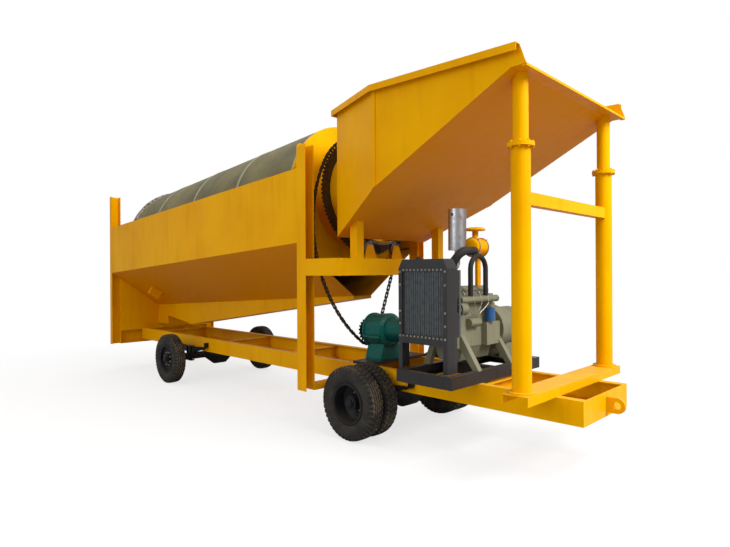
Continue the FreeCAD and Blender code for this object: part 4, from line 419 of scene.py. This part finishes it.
class TROMMEL_OT_tyres(bpy.types.Operator):
    """Cross-ply tyres with lugged shoulders, a zigzag centre rib and beaded sidewalls"""

    bl_idname = "trommel.tyres"
    bl_label = "Tyres with tread"

    def execute(self, context):
        count = context.scene.trommel_sizes.tread_blocks
        # Half of the carcass, from the bead over the sidewall to the middle of the tread: (radius, along).
        half = ((0.1935, 0.060), (0.216, 0.0615), (0.222, 0.068), (0.238, 0.078), (0.262, 0.0885), (0.288, 0.0922),
                (0.305, 0.0918), (0.327, 0.086), (0.346, 0.077), (0.359, 0.066), (0.3645, 0.052), (0.366, 0.026))
        carcass = [(r, -y) for r, y in half] + [(r, y) for r, y in reversed(half)]
        twins = (OUTER_TYRE, OUTER_TYRE - TWIN_SPACING)
        for side, sign in (("left", 1), ("right", -1)):
            for node_name, body, x, places in (
                ("front_tyres_" + side, "front_wheels_" + side, FRONT_AXLE_X, twins),
                ("rear_tyre_" + side, "rear_wheel_" + side, REAR_AXLE_X, (OUTER_TYRE,)),
            ):
                form = bmesh.new()
                for along in places:
                    centre = Vector((x, sign * along, AXLE_HEIGHT))
                    revolve(form, carcass, centre, 72)
                    step = math.tau / count
                    for k in range(count):
                        start = k * step
                        for way in (-1, 1):
                            shift = 0.5 * step if way > 0 else 0.0
                            shoulder = [(0.360, way * 0.046), (0.3742, way * 0.046), (0.3705, way * 0.066),
                                        (0.352, way * 0.0815), (0.330, way * 0.089), (0.326, way * 0.083),
                                        (0.345, way * 0.074)]
                            wedge(form, shoulder, start + shift, start + shift + 0.66 * step, 0.6, centre)
                            middle = [(0.361, way * 0.019), (0.3750, way * 0.019), (0.3748, way * 0.041),
                                      (0.361, way * 0.041)]
                            wedge(form, middle, start + shift + 0.2 * step, start + shift + 0.92 * step, -1.6, centre)
                        rib = [(0.361, -0.014), (0.3752, -0.014), (0.3752, 0.014), (0.361, 0.014)]
                        wedge(form, rib, start + 0.04 * step, start + 0.9 * step, 0.9, centre)
                piece = finished(node_name + "_treaded", form, "Vulcanised tyre rubber", body, (node_name,))
                for face in piece.data.polygons:
                    face.use_smooth = face.area > 0.0005 and len(face.vertices) == 4
        return {"FINISHED"}


class TROMMEL_OT_wheel_nuts(bpy.types.Operator):
    """Rings of wheel nuts with their stud ends, and grease caps on the discs of the wheels"""

    bl_idname = "trommel.wheel_nuts"
    bl_label = "Wheel nuts and caps"

    def execute(self, context):
        rows = (
            # body, axle x, distance of the nuts' seat from the middle, ring radius, hub face, stud circle's count
            ("front_wheels_", FRONT_AXLE_X, OUTER_TYRE - 0.0955, 0.094, OUTER_TYRE + 0.020, 8),
            ("rear_wheel_", REAR_AXLE_X, OUTER_TYRE + 0.0262, 0.098, OUTER_TYRE + 0.060, 8),
        )
        for side, sign in (("left", 1), ("right", -1)):
            for body, x, seat, ring, face, count in rows:
                form = bmesh.new()
                for k in range(count):
                    angle = (k + 0.5) * math.tau / count
                    spot = Vector((x + ring * math.cos(angle), sign * seat, AXLE_HEIGHT + ring * math.sin(angle)))
                    hexagon(form, spot, (0, sign, 0), 0.024, 0.020, 0.0165)
                    stud = (Matrix.Translation(spot + Vector((0, sign * 0.026, 0)))
                            @ Matrix.Rotation(math.radians(-90 * sign), 4, "X"))
                    bmesh.ops.create_cone(form, cap_ends=True, segments=12, radius1=0.0065, radius2=0.0055,
                                          depth=0.014, matrix=stud)
                finished("nuts_" + body + side, form, "Zinc plated fasteners", body + side)
                cap = bmesh.new()
                rows_cap = [(0.0, 0.0), (0.052, 0.0), (0.052, 0.006), (0.044, 0.010), (0.042, 0.026), (0.036, 0.034),
                            (0.020, 0.038), (0.0, 0.039)]
                revolve(cap, [(r, sign * d) for r, d in rows_cap], Vector((x, sign * face, AXLE_HEIGHT)), 36)
                finished("cap_" + body + side, cap, "Black chassis enamel", body + side)
        return {"FINISHED"}


class TROMMEL_OT_bolts(bpy.types.Operator):
    """Hexagon bolts on the post joints, and nuts on the spring clamps"""

    bl_idname = "trommel.bolts"
    bl_label = "Bolts"

    def execute(self, context):
        count = context.scene.trommel_sizes.flange_bolts
        form = bmesh.new()
        for sign in (1, -1):
            for level, way in ((2.686, 1), (2.654, -1)):
                for k in range(count):
                    angle = (k + 0.5) * math.tau / count
                    spot = Vector((3.767 + 0.090 * math.cos(angle), sign * 0.822 + 0.090 * math.sin(angle), level))
                    hexagon(form, spot, (0, 0, way), 0.018, 0.012, 0.0135)
        finished("post_bolts", form, "Yellow alkyd enamel", "frame")

        form = bmesh.new()
        for x in (FRONT_AXLE_X, REAR_AXLE_X):
            for sign in (1, -1):
                for along in (-1, 1):
                    for aside in (-1, 1):
                        spot = Vector((x + along * 0.065, sign * 0.505 + aside * 0.027, 0.5405))
                        hexagon(form, spot, (0, 0, 1), 0.0115, 0.010)
        finished("spring_clamp_nuts", form, "Zinc plated fasteners", "frame")
        return {"FINISHED"}


def bar_of(form, outline, low, high, at):
    """A plate: an outline of pairs given depth from low to high; at turns (pair, depth) into a point."""
    rows = [[form.verts.new(at(pair, depth)) for pair in outline] for depth in (low, high)]
    count = len(outline)
    for i in range(count):
        j = (i + 1) % count
        form.faces.new((rows[0][i], rows[0][j], rows[1][j], rows[1][i]))
    form.faces.new(rows[0][::-1])
    form.faces.new(rows[1])


def tube(form, points, radius, sides=10):
    """A round bar that follows points, with closed ends."""
    points = [Vector(point) for point in points]
    loops = []
    side = None
    for i, point in enumerate(points):
        before = points[max(i - 1, 0)]
        after = points[min(i + 1, len(points) - 1)]
        along = (after - before).normalized()
        if side is None:
            side = along.orthogonal().normalized()
        side = (side - along * side.dot(along)).normalized()
        up = along.cross(side)
        loops.append([form.verts.new(point + side * radius * math.cos(math.tau * k / sides)
                                     + up * radius * math.sin(math.tau * k / sides)) for k in range(sides)])
    for one, two in zip(loops, loops[1:]):
        for k in range(sides):
            j = (k + 1) % sides
            form.faces.new((one[k], one[j], two[j], two[k]))
    form.faces.new(loops[0][::-1])
    form.faces.new(loops[-1])


def bowed(points, steps=6):
    """Rounds the corners of a run of points with short quadratic curves."""
    points = [Vector(point) for point in points]
    out = [points[0]]
    for before, here, after in zip(points, points[1:], points[2:]):
        start, end = here.lerp(before, 0.35), here.lerp(after, 0.35)
        for k in range(steps + 1):
            t = k / steps
            out.append(start * (1 - t) ** 2 + here * 2 * t * (1 - t) + end * t ** 2)
    out.append(points[-1])
    return out


# The drive chain's way round its two wheels, in the plane square to the drum's axis.
CHAIN_STATION = 1.290
RING_PITCH, SPROCKET_PITCH, BOW = 0.7278, 0.1624, 1.580
SPROCKET_AT = (-0.120, -1.600)


def chain_joints():
    """Pins of the chain at even spacing: over the ring, down a slack bow, under the sprocket, straight up."""
    gap = math.hypot(*SPROCKET_AT)
    lead = math.atan2(SPROCKET_AT[1], SPROCKET_AT[0])
    tight = lead + math.acos((RING_PITCH - SPROCKET_PITCH) / gap)
    reach, rest = BOW - RING_PITCH, BOW - SPROCKET_PITCH
    swing = lead + math.acos((reach ** 2 + gap ** 2 - rest ** 2) / (2 * reach * gap))
    middle = (reach * math.cos(swing), reach * math.sin(swing))
    meet = math.atan2(SPROCKET_AT[1] - middle[1], SPROCKET_AT[0] - middle[0]) + math.tau
    arcs = (
        # centre, radius, from, to
        ((0.0, 0.0), RING_PITCH, tight, swing + math.pi),
        (middle, BOW, swing + math.pi, meet),
        (SPROCKET_AT, SPROCKET_PITCH, meet, tight + math.tau),
    )
    low = (SPROCKET_AT[0] + SPROCKET_PITCH * math.cos(tight), SPROCKET_AT[1] + SPROCKET_PITCH * math.sin(tight))
    high = (RING_PITCH * math.cos(tight), RING_PITCH * math.sin(tight))
    run = math.hypot(high[0] - low[0], high[1] - low[1])
    total = sum(radius * (to - start) for centre, radius, start, to in arcs) + run
    count = 2 * round(total / 0.0508 / 2)
    joints = []
    for i in range(count):
        left = total * i / count
        spot = None
        for centre, radius, start, to in arcs:
            length = radius * (to - start)
            if spot is None and left <= length:
                angle = start + left / radius
                spot = (centre[0] + radius * math.cos(angle), centre[1] + radius * math.sin(angle))
            left -= length
        if spot is None:
            t = (left + 0.0) / run
            spot = (low[0] + (high[0] - low[0]) * t, low[1] + (high[1] - low[1]) * t)
        joints.append(spot)
    return joints


class TROMMEL_OT_chain(bpy.types.Operator):
    """Roller chain of waisted link plates, bushed rollers and riveted pins"""

    bl_idname = "trommel.chain"
    bl_label = "Roller chain"

    def execute(self, context):
        joints = chain_joints()
        form = bmesh.new()
        cap = [math.radians(a) for a in (-90, -54, -18, 18, 54, 90)]
        for i, pin in enumerate(joints):
            after = joints[(i + 1) % len(joints)]
            run = math.hypot(after[0] - pin[0], after[1] - pin[1])
            along = ((after[0] - pin[0]) / run, (after[1] - pin[1]) / run)
            outer = i % 2 == 0
            half = 0.0130 if outer else 0.0120
            right = [(run + half * math.cos(a), half * math.sin(a)) for a in cap]
            left = [(-half * math.cos(a), -half * math.sin(a)) for a in cap]
            waist = half * 0.72
            outline = right + [(run / 2, waist)] + left + [(run / 2, -waist)]

            def at(pair, depth):
                return leaning(CHAIN_STATION + depth, pin[0] + along[0] * pair[0] - along[1] * pair[1],
                               pin[1] + along[1] * pair[0] + along[0] * pair[1])
            inner_face = 0.0150 if outer else 0.0105
            for way in (-1, 1):
                low, high = sorted((way * inner_face, way * (inner_face + 0.0035)))
                bar_of(form, outline, low, high, at)
            for radius, low, high, sides in ((0.0094, -0.0100, 0.0100, 14), (0.0050, -0.0200, 0.0200, 8)):
                ring = [(radius * math.cos(math.tau * k / sides), radius * math.sin(math.tau * k / sides))
                        for k in range(sides)]
                bar_of(form, ring, low, high, at)
        finished("roller_chain", form, "Oiled chain steel", "frame", ("drive_chain",))
        return {"FINISHED"}


class TROMMEL_OT_engine_details(bpy.types.Operator):
    """Fan belt, injector pipes, cover bolts, dipstick and radiator bolts"""

    bl_idname = "trommel.engine_details"
    bl_label = "Engine details"

    def execute(self, context):
        # Pulleys that the belt runs round: (X, Z, radius).
        wheels = ((2.795, 1.118, 0.0955), (2.967, 1.354, 0.0593), (2.795, 1.400, 0.0670))
        path = []
        for i, (x, z, radius) in enumerate(wheels):
            before, after = wheels[i - 1], wheels[(i + 1) % len(wheels)]

            def leave(one, two):
                gap = math.hypot(two[0] - one[0], two[1] - one[1])
                lead = math.atan2(two[1] - one[1], two[0] - one[0])
                return lead - math.acos((one[2] - two[2]) / gap)
            start, end = leave(before, wheels[i]), leave(wheels[i], after)
            while end < start:
                end += math.tau
            steps = max(3, int((end - start) / 0.16))
            path += [(x, z, radius, start + (end - start) * k / steps) for k in range(steps + 1)]
        form = bmesh.new()
        loops = []
        for x, z, radius, angle in path:
            loops.append([form.verts.new((x + (radius + lift) * math.cos(angle), y, z + (radius + lift) * math.sin(angle)))
                          for lift, y in ((0.0, -0.541), (0.0, -0.533), (0.009, -0.5305), (0.009, -0.5435))])
        for i, one in enumerate(loops):
            two = loops[(i + 1) % len(loops)]
            for k in range(4):
                j = (k + 1) % 4
                form.faces.new((one[k], one[j], two[j], two[k]))
        finished("fan_belt", form, "Reinforced hose rubber", "frame")

        form = bmesh.new()
        for k in range(4):
            y = -0.43 + 0.128 * k
            tube(form, bowed(((2.967, -0.31 + 0.036 * k, 1.255), (2.992, -0.31 + 0.036 * k, 1.300),
                              (3.010, y, 1.400), (2.972, y, 1.520), (2.905, y, 1.515), (2.8925, y, 1.478))), 0.0034)
            hexagon(form, Vector((2.8925, y, 1.4800)), (0, 0, 1), 0.018, 0.016)
            hexagon(form, Vector((2.967, -0.31 + 0.036 * k, 1.2575)), (0, 0, 1), 0.015, 0.014)
        tube(form, bowed(((2.655, -0.30, 1.05), (2.630, -0.30, 1.20), (2.625, -0.30, 1.33), (2.632, -0.30, 1.36),
                          (2.650, -0.30, 1.345))), 0.0035)
        finished("injector_pipes", form, "Zinc plated fasteners", "frame")

        form = bmesh.new()
        for y in (-0.43, -0.30, -0.17, -0.04, 0.09):
            for x in (2.7065, 2.8835):
                hexagon(form, Vector((x, y, 1.4798)), (0, 0, 1), 0.013, 0.010, 0.010)
        for z in (1.105, 1.220, 1.335, 1.580, 1.700):
            for x in (2.5065, 3.0235):
                hexagon(form, Vector((x, -0.7900, z)), (0, -1, 0), 0.014, 0.009, 0.011)
        for k in range(11):
            for z in (1.717, 1.107):
                hexagon(form, Vector((2.547 + 0.0436 * k, -0.7900, z)), (0, -1, 0), 0.012, 0.008, 0.010)
        for k in range(10):
            angle = (k + 0.5) * math.tau / 10
            hexagon(form, Vector((2.795 + 0.218 * math.cos(angle), 0.1800, 1.118 + 0.218 * math.sin(angle))),
                    (0, -1, 0), 0.013, 0.009)
        finished("engine_bolts", form, "Zinc plated fasteners", "frame")
        return {"FINISHED"}


class TROMMEL_OT_radiator_core(bpy.types.Operator):
    """Flat tubes with folded cooling fins across the radiator's front, and the cowl's bright edge"""

    bl_idname = "trommel.radiator_core"
    bl_label = "Radiator core"

    def execute(self, context):
        tubes, folds = context.scene.trommel_sizes.radiator_tubes, 150
        left, right = 2.531, 2.999
        low, high = 1.118, 1.706
        front, back = -0.7685, -0.7602
        step = (right - left) / tubes
        form = bmesh.new()
        for k in range(tubes + 1):
            x = left + k * step
            outline = [(x - 0.0011, front), (x, front - 0.0009), (x + 0.0011, front), (x + 0.0011, back),
                       (x - 0.0011, back)]
            bar_of(form, outline, low, high, lambda pair, depth: Vector((pair[0], pair[1], depth)))
        finished("radiator_tubes", form, "Bare aluminium", "frame")
        form = bmesh.new()
        for k in range(folds):
            z = low + (k + 0.5) * (high - low) / folds
            tilt = 0.0012 if k % 2 else -0.0012
            outline = [(front + 0.0015, z - tilt), (back, z - tilt - 0.0005), (back, z - tilt + 0.0005),
                       (front + 0.0015, z + tilt + 0.0005)]
            bar_of(form, outline, left, right, lambda pair, depth: Vector((depth, pair[0], pair[1])))
        finished("radiator_fins", form, "Bare aluminium", "frame")
        form = bmesh.new()
        outline = [(3.0300, -0.5890), (3.0340, -0.5870), (3.0340, -0.5670), (3.0300, -0.5650)]
        bar_of(form, outline, 1.1100, 1.7150, lambda pair, depth: Vector((pair[0], pair[1], depth)))
        finished("cowl_edge", form, "Bare aluminium", "frame")
        return {"FINISHED"}


class TROMMEL_OT_fan(bpy.types.Operator):
    """Cooling fan: a turned hub with bolts, and twisted blades that reach out from it"""

    bl_idname = "trommel.fan"
    bl_label = "Cooling fan"

    def execute(self, context):
        centre, count = Vector((2.795, -0.593, 1.400)), 6
        form = bmesh.new()
        hub = [(0.0225, -0.0170), (0.0400, -0.0170), (0.0420, -0.0150), (0.0580, -0.0110), (0.0600, -0.0090),
               (0.0600, 0.0150), (0.0580, 0.0170), (0.0225, 0.0170)]
        revolve(form, hub, centre, 48)
        for k in range(count):
            turn = Matrix.Rotation(math.tau * k / count, 4, "Y")
            loops = []
            for radius, pitch, half in ((0.050, 28, 0.022), (0.085, 28, 0.036), (0.120, 27, 0.043),
                                        (0.160, 25, 0.045), (0.200, 23, 0.045), (0.222, 22, 0.041),
                                        (0.228, 22, 0.034)):
                angle = math.radians(pitch)
                loop = []
                for along, rise in ((-1, 0.0), (-0.4, 0.0035), (0.4, 0.0035), (1, 0.0), (0.4, -0.0005),
                                    (-0.4, -0.0005)):
                    aside, depth = along * half, rise + (0.0008 if rise else -0.0008)
                    spot = Vector((aside * math.cos(angle) - depth * math.sin(angle),
                                   aside * math.sin(angle) + depth * math.cos(angle), radius))
                    loop.append(form.verts.new(centre + turn @ spot))
                loops.append(loop)
            for one, two in zip(loops, loops[1:]):
                for i in range(6):
                    form.faces.new((one[i], one[(i + 1) % 6], two[(i + 1) % 6], two[i]))
            form.faces.new(loops[0][::-1])
            form.faces.new(loops[-1])
            hexagon(form, centre + turn @ Vector((0.0, -0.0140, 0.0440)), (0, -1, 0), 0.009, 0.005)
        finished("fan_wheel", form, "Olive grey engine enamel", "cooling_fan", ("cooling_fan",))
        return {"FINISHED"}


class TROMMEL_OT_filters(bpy.types.Operator):
    """Painted oil filter can, and the air cleaner with its pressed bowl, clamps and domed rain cap"""

    bl_idname = "trommel.filters"
    bl_label = "Oil filter and air cleaner"

    def execute(self, context):
        form = bmesh.new()
        revolve(form, [(0.0422, 0.0), (0.0422, 0.128), (0.0445, 0.128), (0.0452, 0.124), (0.0440, 0.119),
                       (0.0440, 0.010), (0.0430, 0.003)], Vector((3.000, -0.026, 1.2215)), 40, "Z")
        piece = finished("oil_filter_can", form, "Blue filter enamel", "frame")
        for face in piece.data.polygons:
            face.use_smooth = len(face.vertices) == 4 and face.area < 0.002

        form = bmesh.new()
        x, z = 2.855, 1.940
        bowl = [(0.0, -0.1400), (0.050, -0.1400), (0.070, -0.1385), (0.084, -0.1330), (0.0895, -0.1240),
                (0.0895, -0.1180), (0.0965, -0.1170), (0.0965, -0.1110), (0.0900, -0.1100), (0.0900, -0.0200),
                (0.0915, -0.0185), (0.0915, -0.0125), (0.0900, -0.0110), (0.0900, 0.0330), (0.0965, 0.0340),
                (0.0965, 0.0400), (0.0900, 0.0410), (0.0880, 0.0540), (0.0800, 0.0620), (0.062, 0.0648),
                (0.0, 0.0650)]
        revolve(form, bowl, Vector((x, 0.0, z)), 64)
        stack = [(0.0, 0.0), (0.0330, 0.0), (0.0300, 0.100), (0.0300, 0.160), (0.0960, 0.166), (0.1000, 0.172),
                 (0.0985, 0.180), (0.0900, 0.188), (0.0700, 0.195), (0.0400, 0.1985), (0.0, 0.1990)]
        revolve(form, stack, Vector((x, -0.055, z)), 56, "Z")
        bar_of(form, [(x - 0.044, 0.005), (x - 0.014, 0.005), (x - 0.014, 0.065), (x - 0.044, 0.065)],
               1.5603, z - 0.050, lambda pair, depth: Vector((pair[0], pair[1], depth)))
        piece = finished("air_cleaner_body", form, "Yellow alkyd enamel", "frame", ("air_cleaner",))
        for face in piece.data.polygons:
            face.use_smooth = len(face.vertices) == 4 and face.area < 0.004
        form = bmesh.new()
        for along in (-0.1135, 0.0370):
            revolve(form, [(0.0966, along - 0.0050), (0.0985, along - 0.0040), (0.0985, along + 0.0040),
                           (0.0966, along + 0.0050)], Vector((x, 0.0, z)), 64)
            hexagon(form, Vector((x + 0.0700, along, z + 0.0690)), (1, 0, 1), 0.010, 0.012)
        finished("air_cleaner_clamps", form, "Zinc plated fasteners", "frame")
        return {"FINISHED"}


class TROMMEL_OT_stage(bpy.types.Operator):
    """Lays the pale floor, hangs the soft lamps and stands the camera where the photograph was taken"""

    bl_idname = "trommel.stage"
    bl_label = "Floor, lamps and camera"

    def execute(self, context):
        scene = context.scene
        colours = scene.trommel_colours
        scene.view_settings.view_transform = "Standard"

        form = bmesh.new()
        bmesh.ops.create_circle(form, cap_ends=True, segments=64, radius=60)
        mesh = bpy.data.meshes.new("studio_floor")
        form.to_mesh(mesh)
        form.free()
        floor = bpy.data.objects.new("studio_floor", mesh)
        scene.collection.objects.link(floor)
        material, tree = new_material("Matt studio floor")
        place = add(tree, "TexCoord").outputs["Object"]
        reach = add(tree, "VectorMath", {0: place}, operation="LENGTH").outputs["Value"]
        seen = add(tree, "LightPath").outputs["Is Camera Ray"]
        white = spread(tree, reach, 4.0, 8.0, 0.72, 1.0)
        away = add(tree, "Math", {0: white, 1: seen}, operation="MULTIPLY")
        matt = add(tree, "BsdfDiffuse", {"Color": mixed(tree, seen, (0.42, 0.42, 0.42, 1), rgba(colours.floor))})
        glow = add(tree, "Emission", {"Color": (1, 1, 1, 1), "Strength": 1.0})
        both = add(tree, "MixShader", {0: away.outputs[0], 1: matt.outputs[0], 2: glow.outputs[0]})
        add(tree, "OutputMaterial", {"Surface": both.outputs[0]})
        mesh.materials.append(material)

        world = bpy.data.worlds.new("Soft studio")
        scene.world = world
        world.use_nodes = True
        sky = world.node_tree
        sky.nodes.clear()
        path = add(sky, "LightPath")
        height = add(sky, "SeparateXYZ", {"Vector": add(sky, "TexCoord").outputs["Generated"]}).outputs["Z"]
        light = add(sky, "Background", {"Color": (1, 1, 1, 1), "Strength": spread(sky, height, 0.0, 1.0, 0.3, 1.0)})
        white = add(sky, "Background", {"Color": (1, 1, 1, 1), "Strength": 1.0})
        choice = add(sky, "MixShader", {0: path.outputs["Is Camera Ray"], 1: light.outputs[0],
                                        2: white.outputs[0]})
        add(sky, "OutputWorld", {"Surface": choice.outputs[0]})

        for name, spot, target, width, power in (
            ("key", (10.0, 0.5, 8.5), (0.5, 0.0, 1.6), 5.0, 1300.0),
            ("fill", (1.0, -10.0, 6.0), (0.0, 0.0, 1.8), 7.0, 240.0),
        ):
            lamp = bpy.data.lights.new(name, "AREA")
            lamp.size = width
            lamp.energy = power
            made = bpy.data.objects.new(name, lamp)
            made.location = spot
            made.rotation_euler = (Vector(target) - Vector(spot)).to_track_quat("-Z", "Y").to_euler()
            scene.collection.objects.link(made)

        # The photograph's camera, solved from the chassis and wheels.
        camera = bpy.data.cameras.new("photo_camera")
        camera.sensor_width = 36
        camera.lens = 531.5 / PHOTO_WIDTH * camera.sensor_width
        camera.shift_y = -1.3 / PHOTO_WIDTH
        seat = bpy.data.objects.new("photo_camera", camera)
        seat.matrix_world = (Matrix.Translation((5.797, -4.5665, 1.7))
                             @ Matrix.Rotation(math.radians(44.846), 4, "Z")
                             @ Matrix.Rotation(math.radians(90), 4, "X")
                             @ Matrix.Rotation(math.radians(-0.3), 4, "Z"))
        scene.collection.objects.link(seat)
        scene.camera = seat
        return {"FINISHED"}


PIECES = (TROMMEL_OT_finishes, TROMMEL_OT_tyres, TROMMEL_OT_wheel_nuts, TROMMEL_OT_bolts, TROMMEL_OT_chain,
          TROMMEL_OT_engine_details, TROMMEL_OT_radiator_core, TROMMEL_OT_fan,
          TROMMEL_OT_filters, TROMMEL_OT_stage)


class TROMMEL_PT_sidebar(bpy.types.Panel):
    """Lists the steps that dress the trommel screen"""

    bl_label = "Trommel screen"
    bl_idname = "TROMMEL_PT_sidebar"
    bl_space_type = "VIEW_3D"
    bl_region_type = "UI"
    bl_category = "Trommel"

    def draw(self, context):
        for piece in PIECES:
            self.layout.operator(piece.bl_idname)


CLASSES = (TrommelColours, TrommelSizes) + PIECES + (TROMMEL_PT_sidebar,)


def register():
    for item in CLASSES:
        bpy.utils.register_class(item)
    bpy.types.Scene.trommel_colours = bpy.props.PointerProperty(type=TrommelColours)
    bpy.types.Scene.trommel_sizes = bpy.props.PointerProperty(type=TrommelSizes)


def unregister():
    del bpy.types.Scene.trommel_sizes
    del bpy.types.Scene.trommel_colours
    for item in reversed(CLASSES):
        bpy.utils.unregister_class(item)


def main():
    register()
    for piece in PIECES:
        group, action = piece.bl_idname.split(".")
        getattr(getattr(bpy.ops, group), action)()


if __name__ == "__main__":
    main()
